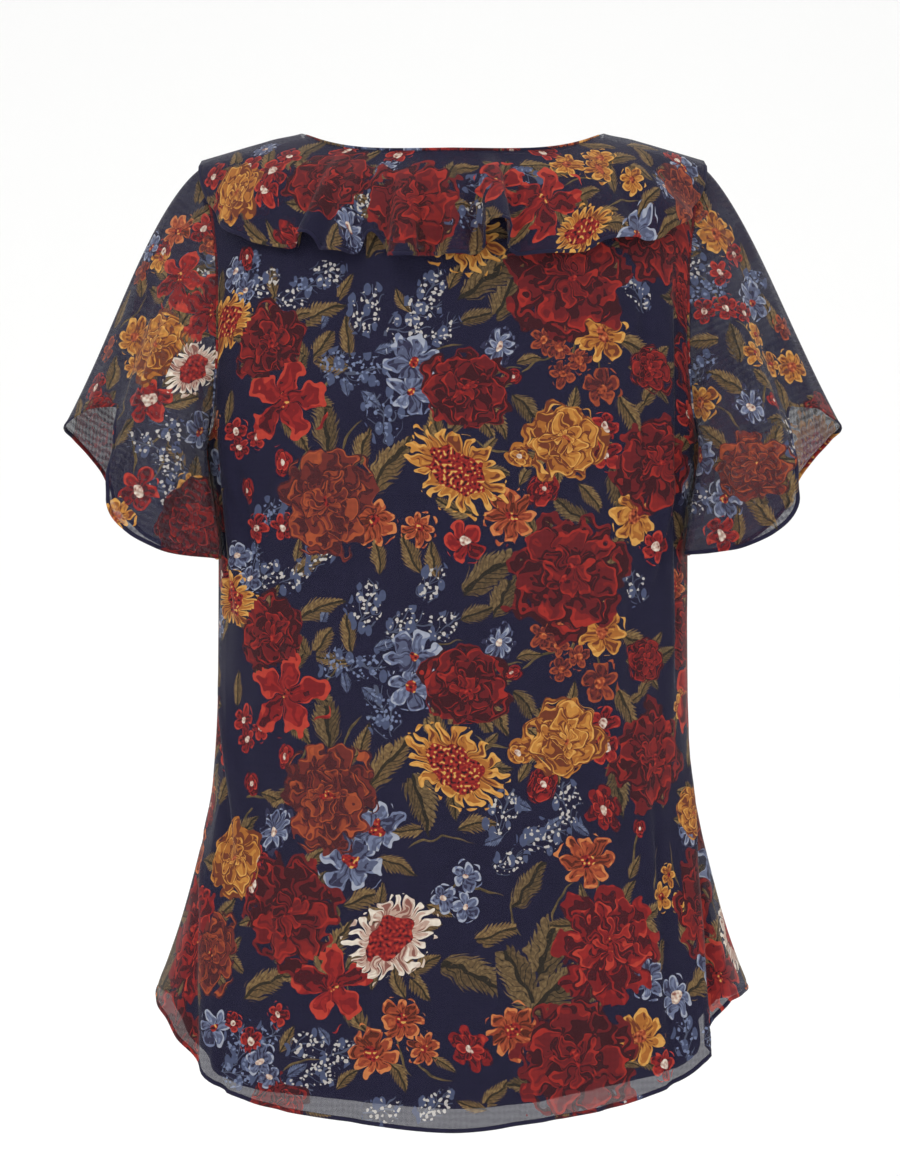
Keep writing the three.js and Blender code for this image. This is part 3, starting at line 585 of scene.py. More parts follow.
def printMotifs(piece, motifs):
    # Gives each face the nearest motif of every layer, as its corners' place in that motif.
    mesh = piece.data
    corners = len(mesh.loops)
    flat = np.empty(corners * 2)
    mesh.uv_layers["flatCloth"].data.foreach_get("uv", flat)
    flat = flat.reshape(-1, 2) * 1000
    starts = np.empty(len(mesh.polygons), int)
    counts = np.empty(len(mesh.polygons), int)
    mesh.polygons.foreach_get("loop_start", starts)
    mesh.polygons.foreach_get("loop_total", counts)
    middle = np.add.reduceat(flat, starts) / counts[:, None]
    faceOf = np.repeat(np.arange(len(starts)), counts)
    low, high = middle.min(0) - 50, middle.max(0) + 50
    for layer in layers:
        nearest = np.full(len(starts), motifReach)
        motifOf = np.full(len(starts), -1)
        table = [row for row in motifs
                 if row[0] == layer and low[0] < row[1] < high[0] and low[1] < row[2] < high[1]]
        for number, (_, x, z, size, *_) in enumerate(table):
            reach = size * motifReach
            near = np.nonzero((np.abs(middle[:, 0] - x) < reach) & (np.abs(middle[:, 1] - z) < reach))[0]
            away = np.hypot(middle[near, 0] - x, middle[near, 1] - z) / size
            better = away < nearest[near]
            nearest[near[better]] = away[better]
            motifOf[near[better]] = number
        place = np.full((corners, 3), unprinted)
        form = np.zeros((corners, 3))
        if table:
            values = np.array([(x, z, size, math.cos(turn * rad), math.sin(turn * rad), long, third, *f)
                               for _, x, z, size, turn, long, third, f in table])
            mine = motifOf[faceOf]
            has = mine >= 0
            v = values[mine[has]]
            dx, dz = flat[has, 0] - v[:, 0], flat[has, 1] - v[:, 1]
            place[has, 0] = (dx * v[:, 3] + dz * v[:, 4]) / v[:, 2]
            place[has, 1] = (dz * v[:, 3] - dx * v[:, 4]) / v[:, 2] * v[:, 5]
            place[has, 2] = v[:, 6]
            form[has] = v[:, 7:10]
        for suffix, data in (("Place", place), ("Form", form)):
            attribute = mesh.attributes.new(layer + suffix, "FLOAT_VECTOR", "CORNER")
            attribute.data.foreach_set("vector", data.ravel())


def paletteRamp(tree, where, table):
    # Every palette's four tones in one stepped ramp, as flat printing inks.
    out = addNode(tree, "ValToRGB", where)
    ramp = out[0].node.color_ramp
    ramp.interpolation = "CONSTANT"
    tones = [tone for palette in table.values() for tone in palette]
    ramp.elements[0].position, ramp.elements[1].position = 0, 1 / len(tones)
    for i in range(2, len(tones)):
        ramp.elements.new(i / len(tones))
    for i, tone in enumerate(tones):
        ramp.elements[i].color = linearColour(tone)
    return out[0]


def chiffonMaterial(name, groundAlpha, inkAlpha, fade, threads=1.0):
    # Polyester crepe chiffon, woven from tightly twisted yarn and printed on its face. It is matt,
    # sheer and slightly crinkled, and its inks lie a little denser than the dyed ground.
    material = bpy.data.materials.new(name)
    material.use_nodes = True
    tree = material.node_tree
    tree.nodes.clear()

    def add(kind, *inputs, **settings):
        return addNode(tree, kind, *inputs, **settings)[0]

    def maths(operation):
        return lambda *values, **settings: add("Math:" + operation, *values, **settings)

    def lay(mask, under, over, **settings):
        # One colour over another where the mask says so.
        return addNode(tree, "Mix", data_type="RGBA", named={0: mask, 6: under, 7: over}, **settings)[2]

    def between(mask, low, high):
        return addNode(tree, "Mix", named={0: mask, 2: low, 3: high})[0]

    def parts(vector):
        return addNode(tree, "SeparateXYZ", vector)

    def stored(attribute):
        return addNode(tree, "Attribute", attribute_name=attribute)[1]

    def wavered(layer, amount):
        # A place in the nearest motif, moved by the hand's waver.
        shift = wobble if amount == 1 else add("VectorMath:SCALE", wobble, named={"Scale": amount})
        return add("VectorMath:ADD", stored(layer + "Place"), shift)

    times, plus, minus, over, scaled = (
        maths(word) for word in ("MULTIPLY", "ADD", "SUBTRACT", "DIVIDE", "MULTIPLY_ADD"))
    below, above, largest, smallest = (
        maths(word) for word in ("LESS_THAN", "GREATER_THAN", "MAXIMUM", "MINIMUM"))
    floor, fract, size, pingpong = (maths(word) for word in ("FLOOR", "FRACT", "ABSOLUTE", "PINGPONG"))

    flat = add("UVMap", uv_map="flatCloth")
    drift = addNode(tree, "TexNoise", flat, named={"Scale": 110.0, "Detail": 0.0})[1]  # 9 mm waver
    wobble = add("VectorMath:MULTIPLY", add("VectorMath:SUBTRACT", drift, (0.5, 0.5, 0.5)), (0.5, 0.5, 0))
    drawn = fade == 0   # brush strokes and yarns show on the face alone
    # Brush strokes of 2.4 mm
    fleck = add("TexNoise", flat, named={"Scale": 420.0, "Detail": 0.0}) if drawn else 0.5
    colour = lay(parts(drift)[2], linearColour("#16142f"), linearColour("#1e1b37"))
    inked = None

    for layer in ("stem", "leaf"):
        x, y, bend = parts(wavered(layer, 0.5))
        half, veins, palette = parts(stored(layer + "Form"))
        xx = times(x, x)
        side = scaled(bend, xx, y)
        away = size(side)
        taper = times(minus(1.0, xx), scaled(x, -0.3, 1.0))
        vein = pingpong(times(scaled(away, -1.6, x), veins), 0.5)
        edge = times(taper, times(half, scaled(vein, 0.85, 0.62)))
        mask = below(away, edge)
        rib = times(below(away, times(half, 0.12)), 0.6)
        line = times(below(vein, 0.09), 0.4)
        tone = scaled(fleck, 0.6, scaled(above(side, 0.0), 0.24, 0.18))
        tone = largest(smallest(minus(tone, largest(rib, line)), 0.95), 0.02)
        ink = paletteRamp(tree, over(plus(palette, tone), float(len(leafNames))), leafPalettes)
        colour = lay(mask, colour, ink)
        inked = mask if inked is None else largest(inked, mask)

    if drawn:
        place = wavered("spray", 1.4)
        away = addNode(tree, "VectorMath:LENGTH", place)[1]
        kind = parts(stored("sprayForm"))[0]
        x, y, _ = parts(place)
        side = size(y)
        fork = pingpong(times(scaled(side, -0.9, x), 1.6), 0.5)
        twig = times(below(fork, 0.055), below(side, 0.8))
        twig = times(largest(twig, below(side, 0.05)), below(away, 1.0))
        colour = lay(twig, colour, linearColour("#50566a"))
        dots = add("TexVoronoi", flat, named={"Scale": 290.0, "Randomness": 0.85})  # florets 3.4 mm apart
        leafPlace = add("VectorMath:MULTIPLY", flat, (1.0, 0.62, 1.0))
        leaflets = add("TexVoronoi", leafPlace, named={"Scale": 130.0})  # 8 mm apart
        leafMask = times(below(leaflets, 0.38), below(away, 1.2))
        dotMask = times(below(dots, times(fleck, 0.72)), below(away, 0.9))
        colour = lay(leafMask, colour, linearColour("#4a526e"))
        floret = lay(kind, linearColour("#c2bcb6"), linearColour("#747f9c"))
        colour = lay(dotMask, colour, floret)
        inked = largest(inked, largest(leafMask, dotMask))

    for layer, amount in (("small", 1), ("big", 0.8)):
        x, y, third = parts(wavered(layer, amount))
        notch, seed = fract(third), floor(third)
        petalsHeart, rings, inks = parts(stored(layer + "Form"))
        petals = floor(petalsHeart)
        out = add("Math:SQRT", scaled(x, x, times(y, y)))
        turn = over(add("Math:ARCTAN2", y, x), 2 * math.pi)
        ring = floor(times(out, rings))
        phase = scaled(turn, petals, times(ring, 0.5))
        across = times(pingpong(phase, 0.5), 2.0)
        across = times(across, across)
        petal = add("Math:FLOORED_MODULO", floor(plus(phase, 0.5)), petals)
        varied = add("TexWhiteNoise", add("CombineXYZ", petal, ring, seed))   # no two petals are drawn alike
        reach = scaled(notch, across, times(out, scaled(varied, 0.22, 0.88)))
        mask = below(reach, 1.0)
        spoke = add("CombineXYZ", times(turn, times(petals, 3.9)), times(out, 3.3), ring)
        streak = add("TexNoise", spoke, named={"Scale": 1.0, "Detail": 0.5}) if drawn else 0.5
        within = fract(times(reach, rings))   # from a petal's foot to its rim
        rim = times(above(within, 0.84), 0.42)
        foot = times(below(within, 0.2), 0.28)
        tone = plus(minus(rim, foot), scaled(streak, 1.15, -0.13))
        tone = minus(tone, times(across, 0.22))
        tone = minus(tone, times(above(across, 0.8), 0.3))   # dark line between petals
        tone = scaled(minus(varied, 0.6), 0.34, tone)
        heart = below(out, fract(petalsHeart))
        heartPalette = add("Math:ROUND", times(fract(inks), 10.0))
        tone = between(heart, tone, scaled(fleck, 1.7, -0.35))
        tone = largest(smallest(tone, 0.97), 0.02)
        palette = between(heart, floor(inks), heartPalette)
        ink = paletteRamp(tree, over(plus(palette, tone), float(len(paletteNames))), palettes)
        colour = lay(mask, colour, ink)
        inked = largest(inked, mask)

    alpha = between(inked, groundAlpha, inkAlpha)
    if drawn:
        # The yarns are about 0.3 mm apart. They are drawn 2.4 mm apart, which is as coarse as shows here.
        weft = addNode(tree, "TexWave", flat, wave_type="BANDS", bands_direction="Y", named={
            "Scale": 66.0, "Distortion": 3.0, "Detail": 1.0, "Detail Scale": 2.2, "Detail Roughness": 0.7})[1]
        warp = addNode(tree, "TexWave", flat, wave_type="BANDS", bands_direction="X", named={
            "Scale": 82.0})[1]
        yarn = scaled(weft, 0.6, times(warp, 0.4))
        grey = add("CombineColor", yarn, yarn, yarn)
        colour = lay(0.07 + 0.13 * threads, colour, grey, blend_type="MULTIPLY")
        alpha = plus(alpha, scaled(yarn, 0.22 * threads, -0.11 * threads), use_clamp=True)
    else:
        colour = lay(fade, colour, linearColour("#7f869c"))
    shader = add("BsdfPrincipled", named={"Base Color": colour, "Roughness": 0.78, "Specular IOR Level": 0.22,
                                          "Sheen Weight": 0.06, "Sheen Roughness": 0.5, "Alpha": alpha})
    addNode(tree, "OutputMaterial", shader)
    return material


def liningMaterial():
    # Plain polyester lining, a fine even weave dyed navy, with a soft low sheen.
    material = bpy.data.materials.new("navy polyester lining")
    material.use_nodes = True
    tree = material.node_tree
    tree.nodes.clear()
    flat = addNode(tree, "UVMap", uv_map="flatCloth")[0]
    weft = addNode(tree, "TexWave", flat, bands_direction="Y", named={"Scale": 90.0, "Distortion": 1.5})[1]
    warp = addNode(tree, "TexWave", flat, bands_direction="X", named={"Scale": 90.0, "Distortion": 1.5})[1]
    weave = addNode(tree, "Math:MULTIPLY", weft, warp)[0]
    cloud = addNode(tree, "TexNoise", flat, named={"Scale": 18.0, "Detail": 3.0})[0]
    shade = addNode(tree, "Math:MULTIPLY_ADD", weave, 0.3, addNode(tree, "Math:MULTIPLY", cloud, 0.7)[0])[0]
    colour = addNode(tree, "Mix", data_type="RGBA", named={
        0: shade, 6: linearColour("#161630"), 7: linearColour("#22213f")})[2]
    bump = addNode(tree, "Bump", named={"Strength": 0.2, "Distance": 0.0004, "Height": weave})[0]
    shader = addNode(tree, "BsdfPrincipled", named={
        "Base Color": colour, "Roughness": 0.55, "Specular IOR Level": 0.3, "Sheen Weight": 0.1,
        "Normal": bump})[0]
    addNode(tree, "OutputMaterial", shader)
    return material


chiffonFace = chiffonMaterial("printed crepe chiffon", 0.80, 0.88, 0.0, threads=0.25)
# The reverse is paler, as most of the ink stays on the face.
chiffonReverse = chiffonMaterial("reverse of the printed chiffon", 0.25, 0.38, 0.55)
sleeveFace = chiffonMaterial("printed crepe chiffon, hanging free", 0.79, 0.88, 0.0, threads=0.9)
sleeveReverse = chiffonMaterial("reverse of the free chiffon", 0.25, 0.40, 0.55)
rolledHem = chiffonMaterial("rolled chiffon hem", 0.96, 0.97, 0.0, threads=0.25)
liningCloth = liningMaterial()
print("materials made")


# Body panels
def panelTop(face, across):
    z = np.full(np.shape(across), -10.0)
    for _ in range(12):
        x = np.abs(halfWidth(z) * np.sin(columnAngle(across, z) * rad))
        shoulder = shoulderLine(np.minimum(x, figure["shoulderHalf"]))
        z = np.where(x < figure["neckHalf"], necklineZ(face, x), shoulder)
    return z


def panelPoints(face, hem, across, up, inset=0.0):
    # The panel over a share across (-1 to 1) and up (0 to 2, where 1 is the underarm's level).
    hemZ, topZ, low = curve(hems[hem])(across * 90), panelTop(face, across), figure["underarmZ"]
    upper = mix(low, topZ, (1 - np.cos((up - 1) * np.pi)) / 2)
    z = np.where(up <= 1, mix(hemZ, low, up), upper)
    angle = columnAngle(across, z)
    point = formPoint(face, angle, z)
    ripple = 0.5 * np.sin(angle * 0.21 + z * 0.031) + 0.4 * np.sin(angle * 0.47 - z * 0.017 + 1.3)
    fixed = foldHeight(folds[face], angle, z)
    height = fixed + foldHeight(creases[face], angle, z) + ripple * smooth(-90, -200, z)
    gap = (liningGap(z) - figure["seamGap"]) * inset
    sideways, outwards = np.sin(angle * rad) / halfWidth(z), np.cos(angle * rad) / depth[face](z)
    direction = unit(np.stack([sideways, facing(face) * outwards, 0 * z], -1))
    free = smooth(-6, -60, z - shoulderLine(point[..., 0]))
    seam = smooth(1.0, 0.93, np.abs(across))
    return point + direction * ((fixed + (height - fixed) * seam - gap) * free)[..., None]


def bodyPanel(name, face, hem, columns, rows, lift, inset, cloths):
    across = np.linspace(-1, 1, columns + 1)
    share = np.linspace(0, 3, rows + 1)
    up = np.where(share <= 2, share / 2, share - 1)
    points = panelPoints(face, hem, *np.meshgrid(across, up), inset)
    flat = np.stack([runningLength(points, 1, columns // 2), points[..., 2]], -1)
    climb = runningLength(points, 0, rows * 2 // 3)
    upper = share > 2
    flat[upper, :, 1] = figure["underarmZ"] + climb[upper]
    outward = np.array([0, facing(face), 0]) + 0 * points
    normals = surfaceNormals(points)
    if np.sum(normals * outward) < 0:
        normals = -normals
    keepEdges(name, points + normals * (lift - clothThick / 2), flat, normals)
    return thicken(layCloth(name, points + normals * lift, flat, outward=outward), clothThick, *cloths)


edges = {}


def keepEdges(name, points, flat, normals):
    # The four edges of a piece, as rows of places, flat places and normals, for its hems and seams.
    for edge, cut in (("low", np.s_[0]), ("high", np.s_[-1]), ("first", np.s_[:, 0]), ("last", np.s_[:, -1])):
        edges[name, edge] = (points[cut], flat[cut], normals[cut])


clothLift = 0.9   # the cloth's outer side, in the middle of the CAD wall
clothThick = 0.6

liningLift = -0.8
chiffonCloth = (chiffonFace, chiffonReverse)
backPanel = bodyPanel("back_cloth", "back", "back", 150, 201, clothLift, 0, chiffonCloth)
frontPanel = bodyPanel("front_cloth", "front", "front", 120, 150, clothLift, 0, chiffonCloth)
motifsOf = {backPanel: backMotifs(), frontPanel: tiledMotifs(60, 40)}   # what is printed on each piece
printMotifs(backPanel, motifsOf[backPanel])
printMotifs(frontPanel, motifsOf[frontPanel])
print("body panels made")
plainCloth = (liningCloth, liningCloth)
liningBack = bodyPanel("lining_back_cloth", "back", "liningBack", 90, 120, liningLift, 0.6, plainCloth)
liningFront = bodyPanel("lining_front_cloth", "front", "liningFront", 90, 120, liningLift, 0.6, plainCloth)
print("lining made")

# Sleeves
sleeveHem = [  # turn round the arm from its top, x, y, z
    (0, 283, 10, -209), (18, 262, -20, -197), (36, 243, -38, -194), (56, 241, -62, -226),
    (76, 245, -76, -262), (98, 229, -80, -285), (122, 202, -70, -297), (150, 167, -44, -301),
    (163, 170.8, -24, -301), (180, 171.9, 0, -301), (210, 176, 42, -300), (238, 202, 70, -297),
    (262, 229, 80, -284), (284, 245, 72, -268), (306, 252, 56, -252), (328, 263, 42, -233),
    (346, 276, 27, -217)]
sleeveSides = {"right": {"head": 78, "sag": 0}, "left": {"head": 98, "sag": 3}}
sleeveCreases = {  # turn at the armhole, turn at the hem, half width in degrees, height, where it starts
    "right": [
        (8, 20, 9, 2.5, 0.05), (30, 44, 8, -3.0, 0.1), (52, 62, 10, 3.0, 0.15), (74, 88, 11, -3.2, 0.05),
        (104, 112, 12, 3.0, 0.3), (132, 136, 10, -2.6, 0.4), (232, 226, 12, 2.6, 0.3),
        (262, 256, 11, -3.0, 0.2), (292, 290, 12, 3.2, 0.1), (322, 318, 10, -2.6, 0.1),
        (344, 340, 8, 2.2, 0.05)],
    "left": [
        (12, 22, 10, 2.2, 0.05), (34, 40, 9, -2.6, 0.15), (58, 66, 9, 3.4, 0.1), (80, 84, 10, -3.0, 0.2),
        (100, 110, 12, 3.2, 0.2), (128, 130, 11, -2.8, 0.4), (236, 232, 11, 2.4, 0.25),
        (266, 262, 12, -3.2, 0.2), (298, 294, 11, 3.0, 0.1), (326, 322, 9, -2.4, 0.15),
        (346, 344, 8, 2.0, 0.05)]}


def armholeFrame(turn):
    # A point on the armhole's edge, the panel's normal there, and the way off the panel.
    def edge(at):
        at = at % 360
        height = mix(-figure["shoulderDrop"], figure["underarmZ"], (1 - np.cos(at * rad)) / 2)
        angle = np.where(height <= figure["underarmZ"], 90.0, armholeAngle(height))
        back, front = formPoint("back", angle, height), formPoint("front", angle, height)
        return np.where((at <= 180)[..., None], back, front), angle
    point, angle = edge(turn)
    sign = np.where(turn % 360 <= 180, -1, 1)
    depths = np.where(sign < 0, depth["back"](point[..., 2]), depth["front"](point[..., 2]))
    level = 1 - np.clip((shoulderLine(point[..., 0]) - point[..., 2]) / figure["shoulderRoll"], 0, 1)
    upright = np.sqrt(1 - level * level)
    sideways = upright * np.sin(angle * rad) / halfWidth(point[..., 2])
    outwards = sign * upright * np.cos(angle * rad) / depths
    normal = unit(np.stack([sideways, outwards, level / figure["shoulderRoll"]], -1))
    along = unit(edge(turn + 2)[0] - edge(turn - 2)[0])
    off = unit(np.cross(along, normal))
    off = np.where((off[..., 0] + off[..., 2] < 0)[..., None], -off, off)
    return point, normal, off


wrappedHem = [(turn + whole, *rest) for turn, *rest in sleeveHem for whole in (-360, 0, 360)]
sleeveHemAt = [curve(wrappedHem, axis) for axis in (1, 2, 3)]


def sleevePoints(side, turn, down):
    at = turn % 360
    low = (1 - np.cos(at * rad)) / 2
    point, normal, off = armholeFrame(at)
    lap = (figure["clothWall"] + figure["seamGap"] + 0.3) * smooth(0.3, 0.8, low)
    start = point + off * (figure["seamGap"] + 0.75) + normal * lap[..., None]
    end = np.stack([axis(at) for axis in sleeveHemAt], -1)
    end[..., 2] -= sleeveSides[side]["sag"] * low
    leave = np.stack([mix(sleeveSides[side]["head"], 12, low), -16 * np.sin(at * rad), -58 + 0 * at], -1)
    arrive = (end - start) * 1.05
    t = down[..., None]
    return (start * (1 + 2 * t) * (1 - t) ** 2 + leave * t * (1 - t) ** 2
            + end * t * t * (3 - 2 * t) + arrive * t * t * (t - 1))


def sleeve(name, side, columns=156, rows=66):
    turn, down = np.meshgrid(np.linspace(0, 360, columns + 1), np.linspace(0, 1, rows + 1))
    points = sleevePoints(side, turn, down)
    middle = points[:, :-1].mean(1, keepdims=True)
    normals = surfaceNormals(points, closed=True)
    if np.sum(normals * (points - middle)) < 0:
        normals = -normals
    height = np.zeros_like(turn)
    for top, bottom, half, rise, begins in sleeveCreases[side]:
        away = (turn - mix(top, bottom, down) + 180) % 360 - 180
        height += rise * np.maximum(0, 1 - (away / half) ** 2) ** 2 * smooth(begins, 0.75, down)
    height += 0.6 * np.sin(turn * rad * 9 + down * 5) * smooth(0.1, 0.5, down)
    points = points + normals * (clothLift + height)[..., None]
    # Laid flat along its length at the middle of the back, and unrolled from there.
    centre = columns // 4
    down = unit(points[-1, centre] - points[0, centre])
    flat = np.stack([0 * turn, -(points - points[0, centre]) @ down], -1)
    step = np.diff(points, axis=1)
    step = step - (step @ down)[..., None] * down
    across = unit(step[:, centre].mean(0))
    flat[:, 1:, 0] = np.cumsum(np.linalg.norm(step, axis=-1), 1)
    flat[..., 0] += ((points[:, centre] - points[0, centre]) @ across - flat[:, centre, 0])[:, None]
    if side == "left":
        flip = np.array([-1, 1, 1])
        points, normals, middle = points * flip, normals * flip, middle * flip
        flat[..., 0] *= -1
    keepEdges(name, points - normals * clothThick / 2, flat, normals)
    piece = layCloth(name, points, flat, closed=True, outward=points - middle)
    return thicken(piece, clothThick, sleeveFace, sleeveReverse)


# What is printed on the back of each sleeve, from the middle of its armhole. The rest has the repeat.
sleeveCharts = {
    "left": {
        "big": [
            ("ochreRose", 30, -44, 23, 0), ("creamDaisy", -3, -50, 19, 118), ("lily", 34, 8, 20, 30),
            ("lily", 2, -6, 23, 0), ("redRose", -52, -150, 26, 0), ("redRose", 68, -104, 15, 0)],
        "small": [
            ("ochreDaisy", 63, -40, 13, 0), ("ochreDaisy", 53, -60, 9, 30), ("rustDaisy", 55, 41, 13, 0),
            ("redStar", 62, 24, 9, 20), ("redStar", 17, -84, 16, 0), ("redStar", -3, -146, 14, 20),
            ("ochreDaisy", -42, -130, 13, 0), ("ochreDaisy", 4, -168, 12, 0), ("anemone", -28, -88, 12, 0),
            ("redStar", 84, -82, 10, 0), ("rustStar", 88, -52, 9, 0), ("redStar", 46, -118, 9, 40),
            ("redStar", -36, 26, 12, 10), ("rustStar", 80, 8, 9, 0), ("anemone", 78, 26, 10, 0),
            ("redStar", 33, 48, 10, 0), ("rustStar", 22, 40, 9, 20), ("ochreDaisy", 62, 20, 10, 0)],
        "leaf": {
            "olive": [
                (90, -22, 14, 100, 0.1), (22, -16, 11, 60, 0), (50, -8, 13, 20, 0.1),
                (70, -70, 12, 80, 0.1), (-6, -74, 13, 140, 0.1), (74, 0, 12, 60, 0.1),
                (-24, -22, 13, 120, 0.1), (40, 60, 12, 120, 0.1), (52, 74, 11, 60, 0.1),
                (78, -124, 13, 30, 0.1), (-26, -62, 12, 90, 0.1), (8, -28, 12, 160, 0.1),
                (-20, -112, 11, 20, 0.1), (98, -100, 11, 50, 0)],
            "brown": [(-40, -118, 13, 70, 0.1), (16, 34, 14, 20, 0.1), (26, -112, 12, 110, 0.1)]},
        "stem": [
            (-10, -112, 24, 80, 0.2), (-2, -104, 20, 120, 0.2), (44, -84, 22, 70, 0.2),
            (12, -120, 18, 60, 0.2), (70, -24, 18, 120, 0.2)],
        "spray": {
            "white": [
                (7, -113, 12, 0), (-4, -97, 12, 0), (-16, -119, 13, 0), (-21, -140, 12, 0),
                (-10, 18, 12, 0), (20, 24, 12, 0)],
            "slate": [(-26, -42, 12, 0), (-14, 40, 12, 0)]}},
    "right": {
        "big": [
            ("rustRose", 6, -126, 25, 30), ("redRose", -88, -104, 15, 0), ("lily", 34, 22, 22, 20),
            ("redRose", 40, -20, 16, 0)],
        "small": [
            ("ochreDaisy", -43, 42, 15, 0), ("anemone", -56, -12, 14, 0), ("redStar", -31, 14, 9, 0),
            ("redStar", -24, -13, 9, 20), ("redStar", -38, -20, 8, 40), ("redStar", -8, -9, 8, 0),
            ("ochreStar", -44, -37, 9, 0), ("ochreStar", -31, -51, 9, 30), ("ochreStar", -50, -60, 9, 50),
            ("ochreDaisy", 33, -42, 12, 0), ("ochreDaisy", 22, -67, 12, 20),
            ("ochreDaisy", -71, -66, 12, 0), ("cornflower", -11, -86, 14, 80), ("anemone", 44, -100, 14, 0),
            ("anemone", 36, -138, 14, 30), ("bud", -30, -88, 7, 60), ("redStar", 50, -160, 12, 0),
            ("rustStar", -78, -36, 9, 0), ("rustDaisy", 10, 44, 13, 0), ("redStar", -62, -118, 8, 0),
            ("rustStar", -36, 62, 9, 0), ("cornflower", -18, 42, 10, 40), ("redStar", -53, 24, 9, 0)],
        "leaf": {
            "brown": [(-20, -39, 14, 100, 0.1), (-28, -104, 11, 30, 0.1)],
            "olive": [
                (24, -94, 14, 60, 0.1), (-70, -22, 12, 90, 0.1), (-2, -62, 14, 50, 0.1),
                (-12, -148, 15, 110, 0.1), (2, -28, 12, 20, 0.1), (14, -158, 15, 70, 0.1),
                (-30, -72, 11, 60, 0.1), (-50, -84, 12, 100, 0.1), (-12, 40, 13, 30, 0.1),
                (-62, 18, 12, 110, 0.1), (-60, -96, 11, 40, 0.1), (46, -66, 13, 80, 0.1),
                (34, -160, 13, 120, 0.1), (56, -2, 13, 70, 0.1), (-47, 68, 11, 100, 0.1),
                (-28, 56, 11, 30, 0.1)]},
        "stem": [
            (-36, -40, 22, 70, 0.2), (-26, -78, 18, 110, 0.2), (10, -80, 20, 60, 0.2),
            (-46, -108, 20, 60, 0.2), (-20, 2, 18, 80, 0.2)],
        "spray": {
            "white": [(-13, 23, 12, 0), (-44, -112, 12, 0), (-36, -126, 12, 0), (60, -130, 12, 0)],
            "slate": [(-14, 6, 14, 0), (12, -44, 12, 0), (-66, 2, 10, 0)]}}}


def ownMotifs(chart, rest=()):
    return motifRows(chart["big"], chart["small"], chart["leaf"], chart["stem"], chart["spray"]) + list(rest)


chartedHalf = 86   # the charts end this far from the middle, towards the front
sleeveRight = sleeve("sleeve_right_cloth", "right")
beyond = [row for row in tiledMotifs(-10, 330) if row[1] > chartedHalf]
motifsOf[sleeveRight] = ownMotifs(sleeveCharts["right"], beyond)
sleeveLeft = sleeve("sleeve_left_cloth", "left")
beyond = [row for row in tiledMotifs(150, 250) if row[1] < -chartedHalf]
motifsOf[sleeveLeft] = ownMotifs(sleeveCharts["left"], beyond)
printMotifs(sleeveRight, motifsOf[sleeveRight])
printMotifs(sleeveLeft, motifsOf[sleeveLeft])
print("sleeves made")

# Flounces
backFlounceEdge = [
    (0, 0, -92), (0.2, 41, -92), (0.4, 82, -90), (0.6, 122, -85), (0.75, 149, -76), (0.86, 166, -57),
    (0.94, 176, -38), (1, 181, -21)]
frontFlounceEdge = [
    (0, 181, -21), (0.07, 177, -40), (0.16, 169, -62), (0.3, 148, -92), (0.5, 113, -132), (0.7, 76, -176),
    (0.86, 46, -212), (1, 20, -236)]
backFlutes = [  # x, half width, how far it stands out, how far its edge is drawn up
    (-150, 20, 5, 0), (-99, 12, 10, 9), (-80, 15, 9, 0), (-55, 12, 3, 15), (-34, 17, 15, -2),
    (2, 16, 10, 0), (29, 15, 21, 19), (62, 24, 6, 0), (112, 30, 8, 5), (153, 18, 9, 3)]
frontFlutes = {"count": 5, "out": 8, "lift": 5}


def backFluteAt(x, along):
    out, lift, shift = np.zeros_like(x), np.zeros_like(x), np.zeros_like(x)
    for middle, half, stands, drawn in backFlutes:
        share = np.clip((x - middle) / half, -1, 1)
        near = (1 - share ** 2) ** 2
        out, lift = out + 1.3 * stands * near, lift + drawn * near
        shift = shift + 0.011 * half * stands * np.sin(2 * np.pi * share)   # a flute is narrower at its foot
    return out, lift, shift


def frontFluteAt(x, along):
    wave = (1 - np.cos(along * frontFlutes["count"] * 2 * np.pi)) / 2
    return 1.2 * frontFlutes["out"] * wave, frontFlutes["lift"] * wave, np.zeros_like(x)


def flouncePoints(face, edge, neckX, fluteAt, side, along, out):
    edgeX, edgeZ = curve(edge, 1)(along), curve(edge, 2)(along)
    startX = neckX(along)
    startZ = necklineZ(face, startX)
    stands, lift, shift = fluteAt(side * edgeX, along)
    x = side * mix(startX, edgeX, out) + shift * out ** 1.4
    z = mix(startZ, edgeZ + lift, out)
    seat = formPointAtX(face, x, np.minimum(z, shoulderLine(x)))
    beside = formPointAtX(face, x + 0.5, np.minimum(z, shoulderLine(x + 0.5)))
    below = formPointAtX(face, x, np.minimum(z, shoulderLine(x)) - 0.5)
    normal = unit(np.cross(beside - seat, below - seat))
    away = np.stack([x * 0.3, facing(face) + 0 * x, 20 + 0 * x], -1)
    normal = np.where((np.sum(normal * away, -1) < 0)[..., None], -normal, normal)
    roll = shoulderTurn(x, z + 4)
    neckEnd = 0.8 * smooth(figure["neckHalf"] - 20, figure["neckHalf"] - 5, startX)
    stand = (figure["clothWall"] + figure["seamGap"] + 0.8 + neckEnd + (2.2 - neckEnd) * smooth(0, 0.3, out)
             + (3 * smooth(0, 0.5, out) + stands * out ** 1.4) * (0.2 + 0.8 * roll))
    return seat + normal * stand[..., None]


